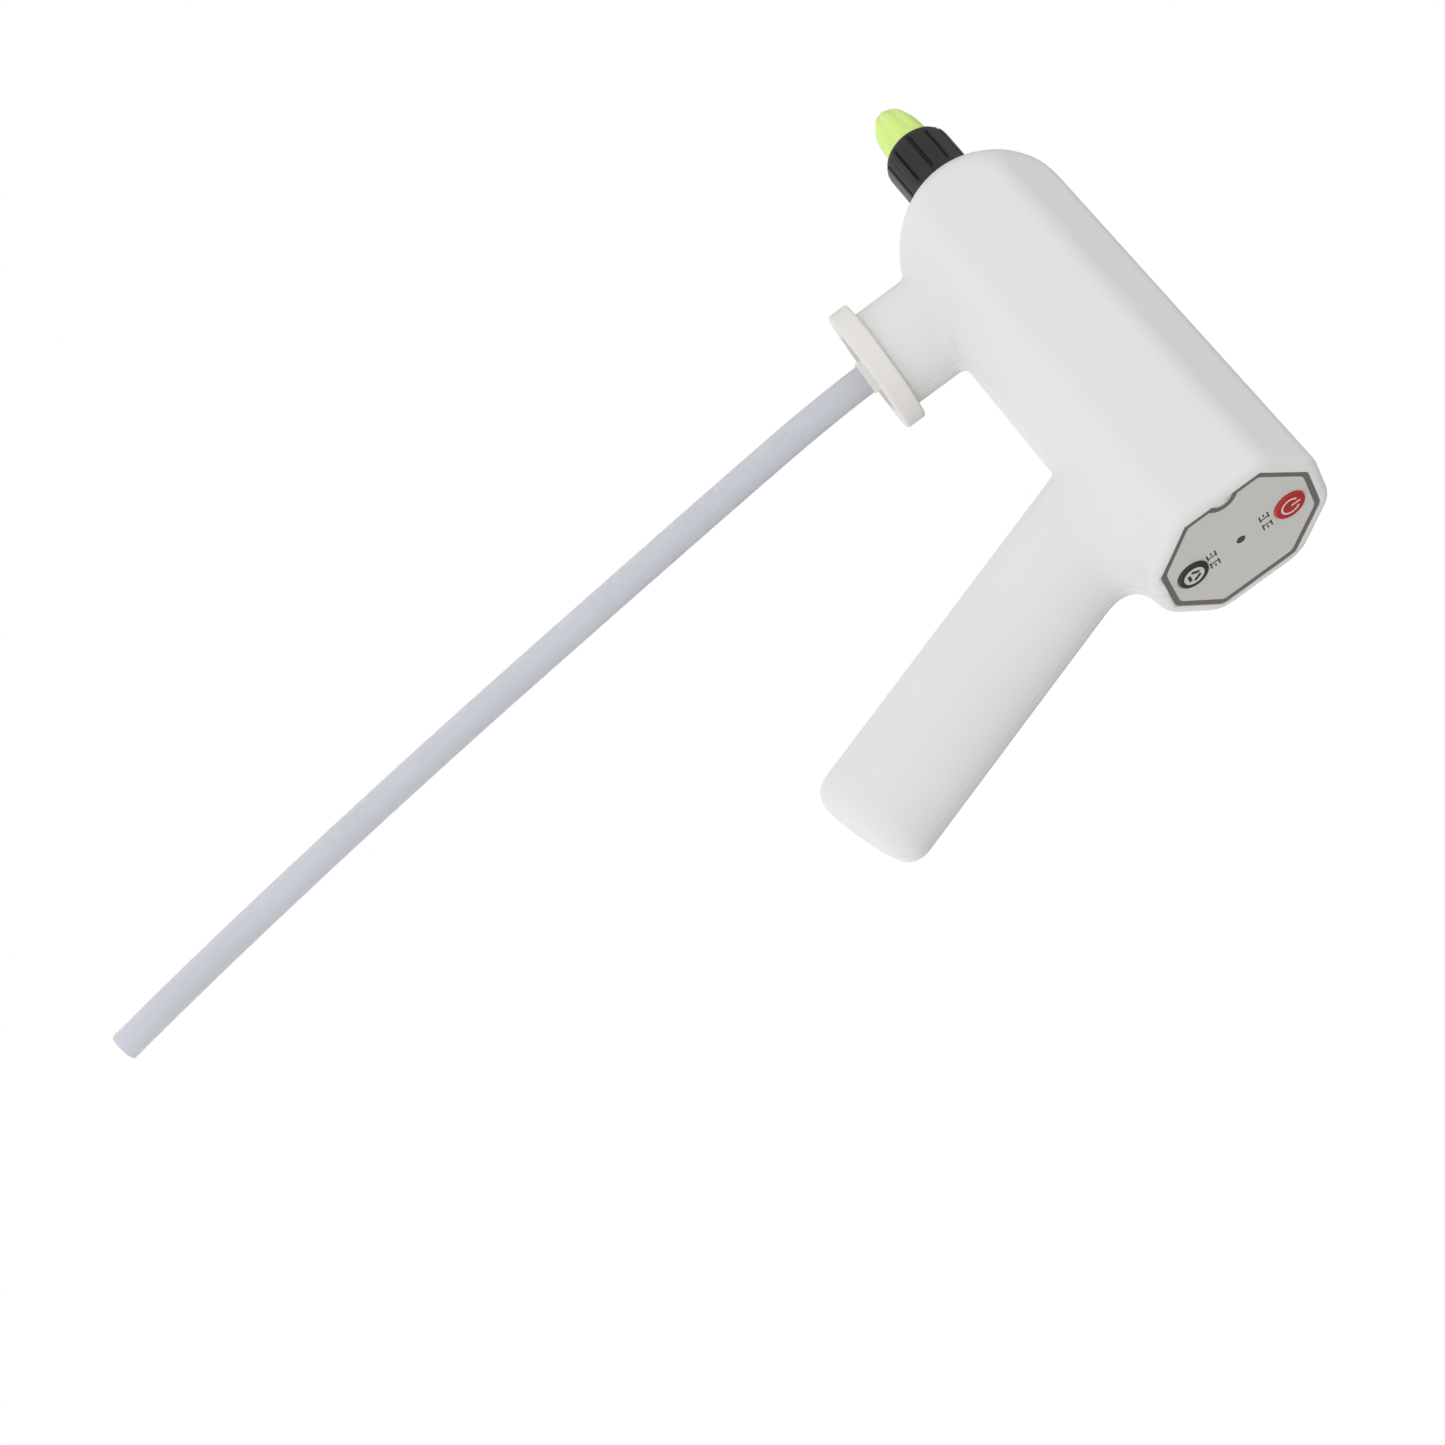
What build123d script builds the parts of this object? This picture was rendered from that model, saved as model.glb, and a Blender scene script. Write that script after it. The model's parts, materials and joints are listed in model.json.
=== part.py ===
from build123d import *
import math
import os

# Cordless bottle-top spray gun.
# Frame: origin at the centre of the bottle socket's mouth, +Z up, nozzle towards -X,
# control panel towards +X, the two shell halves meet in the plane y = 0.  Millimetres.

# ---- driving dimensions -----------------------------------------------------------
# barrel
barrel_height = 57.0
barrel_width = 52.5
barrel_z = 53.0             # height of the barrel's centre line
barrel_rear = 126.6         # rear rim of the barrel
top_flat = 19.6             # width of the flat top and bottom facets
side_flat = 28.4            # height of the flat side facets
ridge_radius = 6.0          # rounding of the long ridges
rear_edge_radius = 3.4
wall = 2.2
dome_start = -0.6           # where the barrel begins to close into the nose
dome_length = 39.7
dome_radius = 31.8
nozzle_z = 54.2             # height of the nozzle's axis

# bottle socket
neck_od = 33.0
neck_wall = 1.4
flange_od = 41.6
flange_thickness = 6.9
socket_depth = 17.5
socket_roof = 2.5
thread_major = 27.9         # female thread for a 28 mm bottle finish
thread_minor = 25.5
thread_pitch = 4.2
thread_land = 1.4
gasket_thickness = 1.6

# dip tube
tube_od = 9.5
tube_bore = 6.5
boss_od = 10.8
boss_x = 1.2
boss_proud = 1.8
tube_seat = 10.0            # how far the tube is pushed up into its boss
tube_route = [
    (1.2, 0.0, 10.0),
    (1.2, 0.0, -13.0),
    (5.6, 0.0, -58.0),
    (11.4, 0.0, -111.0),
    (17.9, 0.0, -168.0),
    (25.5, 0.0, -224.0),
    (34.2, 0.0, -279.0),
    (38.9, 0.0, -303.2),
]

# grip
grip_tilt = 20.0            # backwards, degrees
grip_depth = 37.0
grip_width = 31.6
grip_x = 117.6              # the grip's centre line crosses z = grip_z here
grip_z = -42.0
grip_end = 40.5             # from that crossing down to the grip's flat end
grip_end_radius = 7.0
finger_count = 4
finger_pitch = 21.0
finger_depth = 1.3
finger_first = 9.0          # from the belly down to the first cusp

# nozzle group
stem_core_d = 15.0          # where the shells grip the stem
stem_thread_d = 19.0
stem_pipe_d = 7.0
stem_bore = 3.6
nose_boss_d = 20.8
nose_boss_front = -41.6
collar_od = 22.6
collar_back = -42.0
collar_length = 18.4
collar_skirt = 3.3             # thin skirt behind the thread, over the casing's nose boss
collar_rib_count = 12
collar_rib_depth = 0.9
collar_lip = 5.6
collar_chamfer = 2.4
screw_pitch = 1.5
tip_d = 16.2
tip_front_d = 9.6
tip_reach = 20.6            # how far the tip stands out of the collar
tip_flutes = 8
orifice_d = 1.0

# panel
panel_inset = 3.85          # from the barrel's outline to the label's
label_thickness = 0.5
label_recess = 0.3
panel_thickness = 2.4
panel_lip = 1.5             # the panel's hidden rim beyond the label
lip_thickness = 0.9
notch_radius = 3.6
notch_depth = 2.6
button_d = 9.9
button_spread = 32.6        # between the two buttons
button_travel = 0.6
button_crown = 0.7
led_d = 2.8
board_gap = 8.5             # from the panel's inner face to the circuit board
board_thickness = 1.6

# drive
motor_d = 24.4
motor_length = 31.0
motor_front = 42.0
drive_rise = 4.0            # the motor's axis above the barrel's centre line
motor_shaft_d = 2.3
gear_module = 1.2
gear_teeth = 12
gear_width = 7.0
pressure_angle = 25.0
gear_backlash = 0.16
pump_wall = 4.0
pump_cover_t = 3.5
pump_back_t = 3.5
hose_od = 7.0
hose_bore = 4.0
nipple_d = 4.0
nipple_length = 5.5
port_offset = 6.0

# battery
cell_d = 18.4
cell_length = 65.0
cell_end_gap = 14.0         # from the cell's lower end to the grip's flat end

# charging socket
usb_height = 9.0
usb_thickness = 3.3
usb_z = 50.0

# clearances
sliding = 0.05              # radial, round pieces that turn or slide in a fit
loose = 0.3                 # pieces that pass each other
seat = 0.1                  # fixed pieces in their seats

# ---- derived values ----------------------------------------------------------------
half_h = barrel_height / 2
half_w = barrel_width / 2
barrel_top = barrel_z + half_h
barrel_belly = barrel_z - half_h
label_face = barrel_rear - label_recess
panel_face = label_face - label_thickness
panel_back = panel_face - panel_thickness
button_zs = (barrel_z + button_spread / 2, barrel_z - button_spread / 2)
pitch_r = gear_module * gear_teeth / 2
tip_r = pitch_r + 0.9 * gear_module
root_r = pitch_r - 1.15 * gear_module
drive_z = barrel_z + drive_rise
idle_z = drive_z - 2 * pitch_r
port_z = (drive_z + idle_z) / 2
pump_back = motor_front
gear_back = pump_back - pump_back_t
gear_front = gear_back - gear_width - 2 * sliding
pump_front = gear_front - pump_cover_t
pump_half_w = tip_r + pump_wall
pump_top = drive_z + tip_r + pump_wall
pump_bottom = idle_z - tip_r - pump_wall
collar_front = collar_back - collar_length
tip_front = collar_front - tip_reach
tilt = math.radians(grip_tilt)
grip_axis = Vector(math.sin(tilt), 0, -math.cos(tilt))
board_rear = panel_back - board_gap
board_front = board_rear - board_thickness
adapter_top = socket_depth + socket_roof


# ---- small helpers -------------------------------------------------------------------
def disc_x(diameter, x0, x1, y=0.0, z=0.0):
    """A round bar along X from x0 to x1."""
    return Pos((x0 + x1) / 2, y, z) * Rot(0, 90, 0) * Cylinder(diameter / 2, abs(x1 - x0))


def ring_x(outer, inner, x0, x1, y=0.0, z=0.0):
    return disc_x(outer, x0, x1, y, z) - disc_x(inner, x0 - 1, x1 + 1, y, z)


def disc_z(diameter, z0, z1, x=0.0, y=0.0):
    return Pos(x, y, (z0 + z1) / 2) * Cylinder(diameter / 2, abs(z1 - z0))


def disc_y(diameter, y0, y1, x=0.0, z=0.0):
    return Pos(x, (y0 + y1) / 2, z) * Rot(90, 0, 0) * Cylinder(diameter / 2, abs(y1 - y0))


def block(x0, x1, y0, y1, z0, z1):
    return Pos((x0 + x1) / 2, (y0 + y1) / 2, (z0 + z1) / 2) * Box(x1 - x0, y1 - y0, z1 - z0)


def along_grip(distance, forward=0.0):
    """A point on the grip's centre line, and forward of it towards the fingers."""
    front = Vector(-math.cos(tilt), 0, -math.sin(tilt))
    return Vector(grip_x, 0, grip_z) + grip_axis * distance + front * forward


def grip_plane(distance):
    """Plane square to the grip, its x direction towards the back of the grip."""
    return Plane(origin=along_grip(distance), x_dir=(math.cos(tilt), 0, math.sin(tilt)), z_dir=grip_axis)


def octagon(inset, radius=0.0):
    """The barrel's long octagon as a face in the plane x = 0, drawn in by an inset."""
    w = half_w - inset
    h = half_h - inset
    slope = math.atan2(half_h - side_flat / 2, half_w - top_flat / 2)
    ty = top_flat / 2 - inset * math.tan(slope / 2)
    sz = side_flat / 2 - inset * math.tan((math.pi / 2 - slope) / 2)
    corners = [(ty, h), (w, sz), (w, -sz), (ty, -h), (-ty, -h), (-w, -sz), (-w, sz), (-ty, h)]
    plane = Plane(origin=(0, 0, barrel_z), x_dir=(0, 1, 0), z_dir=(1, 0, 0))
    flat = Polygon(*corners, align=None)
    if radius:
        flat = fillet(flat.vertices(), radius)
    return plane * flat


def octagon_bar(inset, radius, x0, x1):
    return Pos(x0, 0, 0) * extrude(octagon(inset, radius), amount=x1 - x0, dir=(1, 0, 0))


def nose_form(inset):
    """Round bar along X whose front closes as half an ellipse."""
    r = dome_radius - inset
    length = dome_length - inset
    front = dome_start - length
    far = barrel_rear + 20
    arc = EllipticalCenterArc((dome_start, 0), length, r, start_angle=90, arc_size=90)
    outline = Curve() + [
        arc,
        Line((front, 0), (far, 0)),
        Line((far, 0), (far, r)),
        Line((far, r), (dome_start, r)),
    ]
    profile = Plane(origin=(0, 0, nozzle_z), x_dir=(1, 0, 0), z_dir=(0, -1, 0)) * make_face(outline)
    return revolve(profile, Axis((0, 0, nozzle_z), (1, 0, 0)))


def barrel_form(inset, rear):
    """The barrel with its domed nose, drawn in by an inset."""
    bar = octagon_bar(inset, ridge_radius - inset / 2, dome_start - dome_length, rear)
    if not inset:
        bar = fillet(bar.faces().sort_by(Axis.X)[-1].edges(), rear_edge_radius)
    return bar & nose_form(inset)


def grip_form(inset):
    """Oval grip with its finger scallops and rounded end."""
    start = -(barrel_z - grip_z) / math.cos(tilt)
    oval = grip_plane(start) * Ellipse(grip_depth / 2 - inset, grip_width / 2 - inset)
    bar = extrude(oval, amount=grip_end - inset - start, dir=grip_axis)
    bar = fillet(bar.faces().sort_by(Axis((0, 0, 0), grip_axis))[-1].edges(), grip_end_radius - inset / 2)
    belly_at = (grip_z - barrel_belly) / math.cos(tilt)
    chord = finger_pitch / 2
    radius = (chord ** 2 + finger_depth ** 2) / (2 * finger_depth)
    for i in range(finger_count):
        middle = belly_at + finger_first + finger_pitch * (i + 0.5)
        centre = along_grip(middle, grip_depth / 2 - inset + radius - finger_depth)
        bar -= disc_y(2 * radius, -grip_width, grip_width, centre.X, centre.Z)
    return bar


# ---- casing -----------------------------------------------------------------------------
screw_points = [(-4.0, 74.6), (58.0, 74.6), (104.0, 74.6), (56.0, 31.6)]
screw_points.append((along_grip(grip_end - 6.3).X, along_grip(grip_end - 6.3).Z))
screw_boss_d = 7.0
screw_shank_d = 2.6
screw_head_d = 5.2
screw_head_t = 1.8
screw_length = 13.0
screw_head_y = 5.0


def label_outline(extra, x0, x1):
    return octagon_bar(panel_inset - extra, 0.0, x0, x1)


def notch_bar(extra, x0, x1):
    """The half-round lug on the near side of the panel opening."""
    edge = -(half_w - panel_inset)
    return disc_x(2 * (notch_radius + extra), x0, x1, edge + notch_depth - notch_radius, barrel_z)


def casing():
    """Both shell halves as one hollow piece, before it is split and the panel's lug is added."""
    neck = disc_z(neck_od, flange_thickness, barrel_z)
    nose_boss = disc_x(nose_boss_d, nose_boss_front, nose_boss_front + 11, 0, nozzle_z)
    outer = barrel_form(0, barrel_rear) + neck + grip_form(0)
    inner = barrel_form(wall, panel_back + lip_thickness) + grip_form(wall)
    opening = label_outline(seat, panel_back, barrel_rear + 1)
    outer += nose_boss
    shell = outer - (inner - nose_boss) - disc_z(neck_od - 2 * neck_wall, 0, barrel_z)
    shell -= opening
    shell -= disc_x(stem_core_d + 2 * seat, nose_boss_front - 1, -20, 0, nozzle_z)
    shell += ribs(inner)
    return shell


def ribs(inner):
    """Cross walls that cradle the motor, the pump and the battery cell."""
    cradle = []
    for x in (motor_front + 8, motor_front + motor_length - 7):
        plate = inner & block(x, x + 2, -half_w, half_w, barrel_belly, barrel_top)
        plate -= disc_x(motor_d + 2 * seat, x - 1, x + 3, 0, drive_z)
        plate -= block(x - 1, x + 3, -9, 9, barrel_belly, drive_z - 8)
        plate -= block(x - 1, x + 3, -8, 8, drive_z + 10, barrel_top)
        cradle.append(plate)
    plate = inner & block(pump_front + 4, pump_front + 6, -half_w, half_w, barrel_belly, barrel_top)
    plate -= block(pump_front, pump_front + 8, -pump_half_w - seat, pump_half_w + seat,
                   pump_bottom - seat, pump_top + seat)
    plate -= block(pump_front, pump_front + 8, -8, 8, barrel_belly, barrel_top)
    cradle.append(plate)
    cell_low = grip_end - cell_end_gap
    for distance in (cell_low - 12, cell_low - cell_length + 10):
        slab = grip_plane(distance) * Box(grip_depth + 10, grip_width + 10, 2)
        hole = grip_plane(distance) * Cylinder(cell_d / 2 + seat, 6)
        slot = grip_plane(distance) * Box(grip_depth + 10, 5, 6)
        cradle.append((inner & slab) - hole - slot)
    whole = cradle[0]
    for plate in cradle[1:]:
        whole += plate
    return whole


def shell_half(shell, side):
    """side -1 is the left half (-Y), +1 the right half, with their screw bosses."""
    far = 200.0
    half = shell - block(-far, far, -far, 0, -far, far)
    if side < 0:
        half = mirror(half, about=Plane.XZ)
        lug = notch_bar(-seat, panel_back + lip_thickness, label_face)
        half += lug & label_outline(seat + 0.5, panel_back, barrel_rear)
    solid = barrel_form(1.0, barrel_rear) + grip_form(1.0)
    for x, z in screw_points:
        post = disc_y(screw_boss_d, 0, side * half_w, x, z) & solid
        half += post
        if side < 0:
            half -= disc_y(screw_shank_d + 2 * sliding, 0, -(screw_length - screw_head_y + 1), x, z)
        else:
            half -= disc_y(screw_shank_d + 2 * loose, -1, screw_head_y + 1, x, z)
            half -= disc_y(screw_head_d + 2 * loose, screw_head_y, half_w + 5, x, z)
    if side > 0:
        half -= block(board_front - usb_thickness - 2 * loose, board_front + loose, half_w - 8, half_w + 5,
                      usb_z - usb_height / 2 - loose, usb_z + usb_height / 2 + loose)
    return half


def shell_screws():
    """Self-tapping screws, heads towards +Y, each with a cross recess."""
    screws = []
    for x, z in screw_points:
        head = disc_y(screw_head_d, screw_head_y, screw_head_y + screw_head_t, x, z)
        shank = disc_y(screw_shank_d, screw_head_y - screw_length, screw_head_y, x, z)
        top = screw_head_y + screw_head_t
        cross = block(x - 1.6, x + 1.6, top - 1, top + 1, z - 0.35, z + 0.35)
        cross += block(x - 0.35, x + 0.35, top - 1, top + 1, z - 1.6, z + 1.6)
        screws.append(head + shank - cross)
    return Compound(children=screws)


# ---- bottle socket and water path ---------------------------------------------------------
def bottle_adapter():
    """Flanged socket with its thread lands, the hose boss and the inner nipple."""
    sleeve_d = neck_od - 2 * neck_wall - 2 * seat
    body = disc_z(flange_od, 0, flange_thickness) + disc_z(sleeve_d, 0, adapter_top)
    body -= disc_z(thread_major, -1, socket_depth)
    body = fillet(body.edges().filter_by(GeomType.CIRCLE).group_by(Axis.Z)[0].sort_by(SortBy.LENGTH)[-1], 0.8)
    lands = []
    for i in range(3):
        z = 2.0 + thread_pitch * i
        lands.append(disc_z(thread_major + 1, z, z + thread_land) - disc_z(thread_minor, z - 1, z + thread_land + 1))
    for land in lands:
        body += land
    body += disc_z(boss_od, -boss_proud, socket_depth + 1, boss_x)
    body += disc_z(nipple_d, adapter_top - 1, adapter_top + 1 + nipple_length, boss_x)
    body += disc_z(nipple_d + 4, adapter_top - 1, adapter_top + 1, boss_x)
    body -= disc_z(tube_od + 2 * sliding, -boss_proud - 1, tube_seat, boss_x)
    body -= disc_z(nipple_d - 1.4, tube_seat - 1, adapter_top + 9, boss_x)
    body -= disc_z(1.6, socket_depth - 1, adapter_top + 1, -9.0)
    return body


def bottle_gasket():
    """Flat rubber ring that the bottle's rim seals against, under the socket's roof."""
    ring = disc_z(thread_minor - 2 * seat, socket_depth - gasket_thickness, socket_depth)
    ring -= disc_z(boss_od + 2 * loose, 0, adapter_top, boss_x)
    return ring - disc_z(3.0, 0, adapter_top, -9.0)


def rounded_path(points, label, limit=None):
    """Straight runs joined by arcs, each as large as its two runs allow."""
    runs = [Vector(*b) - Vector(*a) for a, b in zip(points, points[1:])]
    radii = []
    for before, after in zip(runs, runs[1:]):
        turn = math.radians(before.get_angle(after))
        radius = 0.45 * min(before.length, after.length) / math.tan(turn / 2)
        radii.append(radius if limit is None else min(radius, limit))
    print(label, "radii", [round(r, 1) for r in radii])
    return FilletPolyline(*points, radius=radii)


def tube_along(path, outer, inner, label):
    """A pipe of two diameters carried along a path."""
    start = Plane(origin=path @ 0, z_dir=path % 0)
    section = start * (Circle(outer / 2) - Circle(inner / 2)) if inner else start * Circle(outer / 2)
    pipe = sweep(section, path=path)
    expected = math.pi / 4 * (outer ** 2 - inner ** 2) * path.length
    print(label, "length", round(path.length, 1), "volume", round(pipe.volume, 1), "expected", round(expected, 1))
    return pipe


def dip_tube():
    return tube_along(rounded_path(tube_route, "dip_tube"), tube_od, tube_bore, "dip_tube")


def inlet_hose():
    """From the socket's nipple up and back to the pump's inlet."""
    points = [
        (boss_x, 0, adapter_top + 1),
        (boss_x, 0, adapter_top + 13),
        (boss_x + 0.6, -2.6, port_z - 8),
        (boss_x + 6.0, -port_offset + 0.6, port_z - 1.0),
        (pump_front - 12, -port_offset, port_z),
        (pump_front, -port_offset, port_z),
    ]
    return tube_along(rounded_path(points, "inlet_hose"), hose_od, hose_bore, "inlet_hose")


def outlet_hose():
    """From the pump's outlet forward to the nozzle stem's barb."""
    points = [
        (pump_front, port_offset, port_z),
        (pump_front - 12, port_offset, port_z),
        (4.0, 5.4, port_z + 1.2),
        (-7.0, 2.0, nozzle_z - 0.8),
        (-15.5, 0, nozzle_z),
        (nose_boss_front + 13, 0, nozzle_z),
    ]
    return tube_along(rounded_path(points, "outlet_hose"), hose_od, hose_bore, "outlet_hose")


# ---- gear pump ---------------------------------------------------------------------------
def spur_gear(bore_d, x0, y, z, phase):
    """Involute spur gear along X; phase turns a tooth's centre from +Z, degrees."""
    alpha = math.radians(pressure_angle)
    base_r = pitch_r * math.cos(alpha)
    half_tooth = math.pi / (2 * gear_teeth) - gear_backlash / (4 * pitch_r)
    inv_alpha = math.tan(alpha) - alpha

    def flank(radius):
        roll = math.acos(min(1.0, base_r / radius))
        return half_tooth + inv_alpha - (math.tan(roll) - roll)

    steps = 7
    low = max(root_r, base_r)
    radii = [low + (tip_r - low) * i / (steps - 1) for i in range(steps)]
    outline = []
    for tooth in range(gear_teeth):
        centre = 2 * math.pi * tooth / gear_teeth + math.radians(phase)
        left = [(root_r, flank(low))] + [(r, flank(r)) for r in radii]
        for r, a in left:
            outline.append((r * math.sin(centre - a), r * math.cos(centre - a)))
        for r, a in reversed(left):
            outline.append((r * math.sin(centre + a), r * math.cos(centre + a)))
    plane = Plane(origin=(x0, y, z), x_dir=(0, 1, 0), z_dir=(1, 0, 0))
    gear = extrude(plane * Polygon(*outline, align=None), amount=gear_width, dir=(1, 0, 0))
    return gear - disc_x(bore_d, x0 - 1, x0 + gear_width + 1, y, z)


def pump_body():
    """Block that holds the two gears, open to the front."""
    body = block(gear_front, pump_back, -pump_half_w, pump_half_w, pump_bottom, pump_top)
    body = fillet(body.edges().filter_by(Axis.X), 4)
    for z in (drive_z, idle_z):
        body -= disc_x(2 * (tip_r + seat), gear_front - 1, gear_back, 0, z)
    for y in (-port_offset, port_offset):
        body -= disc_x(nipple_d - 1.0, gear_front - 1, gear_back - 1, y, port_z)
    body -= disc_x(motor_shaft_d + 2, gear_back - 1, pump_back + 1, 0, drive_z)
    body -= disc_x(8 + 2 * seat, pump_back - 2.5, pump_back + 1, 0, drive_z)
    body -= disc_x(3.0, gear_back - 1, gear_back + 2.5, 0, idle_z)
    for y, z in pump_screw_points():
        body -= disc_x(2.2 + 2 * sliding, gear_front - 1, gear_front + 7, y, z)
    return body


def pump_screw_points():
    inner = pump_half_w - 2.4
    return [(s * inner, z) for s in (-1, 1) for z in (pump_bottom + 2.4, pump_top - 2.4)]


def pump_cover():
    """Front cover with the two hose nipples."""
    cover = block(pump_front, gear_front, -pump_half_w, pump_half_w, pump_bottom, pump_top)
    cover = fillet(cover.edges().filter_by(Axis.X), 4)
    for y in (-port_offset, port_offset):
        cover += disc_x(nipple_d, pump_front - nipple_length, pump_front + 1, y, port_z)
        cover -= disc_x(nipple_d - 1.4, pump_front - nipple_length - 1, gear_front + 1, y, port_z)
    cover -= disc_x(3.0, gear_front - 2, gear_front + 1, 0, idle_z)
    cover -= disc_x(motor_shaft_d + 2 * sliding, gear_front - 2, gear_front + 1, 0, drive_z)
    for y, z in pump_screw_points():
        cover -= disc_x(2.2 + 2 * sliding, pump_front - 1, gear_front + 1, y, z)
    return cover


def pump_screws():
    screws = []
    for y, z in pump_screw_points():
        head = disc_x(4.0, pump_front - 1.6, pump_front, y, z)
        slot = block(pump_front - 2.6, pump_front - 0.9, y - 2.2, y + 2.2, z - 0.3, z + 0.3)
        screws.append(head - slot + disc_x(2.2, pump_front, gear_front + 6.5, y, z))
    return Compound(children=screws)


def gear_pin():
    """Fixed pin that the idler gear turns on."""
    return disc_x(3.0, gear_front - 2, gear_back + 2.5, 0, idle_z)


def drive_gear():
    return spur_gear(motor_shaft_d, gear_front + sliding, 0, drive_z, 180)


def idler_gear():
    return spur_gear(3.0 + 2 * sliding, gear_front + sliding, 0, idle_z, 180 / gear_teeth)


def shaft_seal():
    """Lip seal round the motor's shaft, in the back of the pump body."""
    return ring_x(8.0, motor_shaft_d + 2 * sliding, pump_back - 2.5, pump_back, 0, drive_z)


# ---- motor -----------------------------------------------------------------------------------
can_wall = 1.0
magnet_t = 2.6
rotor_d = motor_d - 2 * can_wall - 2 * magnet_t - 1.0
slot_d = 5.0                 # the armature's winding slots, open at its rim
slot_ring = 8.0              # radius of the circle that their axes lie on


def motor_can():
    """Drawn steel can with two flats and its front boss hole."""
    can = disc_x(motor_d, motor_front, motor_front + motor_length - 3, 0, drive_z)
    can -= disc_x(motor_d - 2 * can_wall, motor_front + can_wall, motor_front + motor_length, 0, drive_z)
    can -= disc_x(motor_shaft_d + 1.0, motor_front - 1, motor_front + 2, 0, drive_z)
    return can


def motor_magnets():
    ring = ring_x(motor_d - 2 * can_wall, motor_d - 2 * can_wall - 2 * magnet_t,
                  motor_front + 4, motor_front + motor_length - 8, 0, drive_z)
    gap = block(motor_front, motor_front + motor_length, -half_w, half_w, drive_z - 3, drive_z + 3)
    return Compound(children=list((ring - gap).solids()))


def motor_endcap():
    """Nylon end cap that closes the can and carries the rear bearing."""
    back = motor_front + motor_length
    cap = disc_x(motor_d, back - 3, back, 0, drive_z)
    cap += disc_x(8.0, back, back + 2, 0, drive_z)
    cap -= disc_x(motor_shaft_d + 2 * sliding, back - 4, back + 0.8, 0, drive_z)
    return cap


def motor_terminals():
    back = motor_front + motor_length
    tabs = [block(back, back + 5, s * 8 - 0.25, s * 8 + 0.25, drive_z - 1.4, drive_z + 1.4) for s in (-1, 1)]
    return Compound(children=tabs)


def motor_shaft():
    return disc_x(motor_shaft_d, gear_front - 1.8, motor_front + motor_length + 0.6, 0, drive_z)


def rotor_core():
    """Three-pole armature on the shaft."""
    x0 = motor_front + 5
    x1 = motor_front + motor_length - 9
    core = disc_x(rotor_d, x0, x1, 0, drive_z)
    for k in range(3):
        angle = math.radians(120 * k + 60)
        y = math.sin(angle) * slot_ring
        z = drive_z + math.cos(angle) * slot_ring
        core -= disc_x(slot_d, x0 - 1, x1 + 1, y, z)
    return core - disc_x(motor_shaft_d, x0 - 1, x1 + 1, 0, drive_z)


def commutator():
    back = motor_front + motor_length
    return ring_x(6.0, motor_shaft_d, back - 8, back - 4, 0, drive_z)


# ---- nozzle group -------------------------------------------------------------------------------
stem_front = collar_front + collar_lip + 1.7
pipe_front = tip_front + 9.0
washer_d = stem_thread_d


def nozzle_stem():
    """Barb, clamped core, collar thread and the small pipe that the tip screws on."""
    z = nozzle_z
    back = nose_boss_front + 11
    stem = disc_x(stem_core_d + 4, back, back + 2, 0, z)
    stem += disc_x(stem_core_d, nose_boss_front, back, 0, z)
    stem += disc_x(nipple_d, back + 1, back + 3 + nipple_length, 0, z)
    stem += disc_x(stem_thread_d, stem_front, nose_boss_front, 0, z)
    stem += disc_x(stem_pipe_d, pipe_front, stem_front, 0, z)
    stem -= disc_x(stem_bore, pipe_front - 1, back + 1, 0, z)
    return stem - disc_x(nipple_d - 1.4, back, back + 11, 0, z)


def swirl_core():
    """Slotted plug that spins the water behind the orifice."""
    core = disc_x(stem_bore - 2 * seat, pipe_front, pipe_front + 5, 0, nozzle_z)
    for angle in (0, 90):
        slot = Pos(pipe_front + 2.5, 0, nozzle_z) * Rot(angle, 0, 0) * Box(7, 0.7, stem_bore + 1)
        core -= slot - disc_x(stem_bore - 1.6, pipe_front - 1, pipe_front + 6, 0, nozzle_z)
    return core


def collar_washer():
    """Flat washer between the collar's lip and the stem, held in the collar."""
    x0 = collar_front + collar_lip + 0.1
    return ring_x(washer_d, tip_d + 2 * loose, x0, x0 + 1.4, 0, nozzle_z)


def collar_nut():
    """Ribbed collar nut with a chamfered front."""
    z = nozzle_z
    nut = disc_x(collar_od, collar_front, collar_back, 0, z)
    front_edge = nut.edges().filter_by(GeomType.CIRCLE).sort_by(Axis.X)[0]
    nut = chamfer(front_edge, collar_chamfer, collar_chamfer * 1.1)
    groove_w = math.pi * collar_od / collar_rib_count * 0.3
    for k in range(collar_rib_count):
        angle = 360 * k / collar_rib_count
        cutter = Box(collar_length - 2.0, groove_w, 4)
        radial = collar_od / 2 - collar_rib_depth + 2
        nut -= Pos(collar_front + (collar_length - 2.0) / 2 - 0.5, 0, z) * Rot(angle, 0, 0) * Pos(0, 0, radial) * cutter
    nut -= disc_x(stem_thread_d + 4 * sliding, collar_front + collar_lip, collar_back + 1, 0, z)
    nut -= disc_x(tip_d + 2 * loose, collar_front - 1, collar_back, 0, z)
    return nut + ring_x(collar_od, nose_boss_d + 2 * loose, collar_back - 1.0, collar_back + collar_skirt, 0, z)


seal_width = 1.6
seal_od = stem_pipe_d + 3.0
seal_x = collar_front - 0.5


def tip_seal():
    """Square ring that seals the tip on the pipe and slides with it."""
    return ring_x(seal_od, stem_pipe_d + 2 * sliding, seal_x, seal_x + seal_width, 0, nozzle_z)


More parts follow.
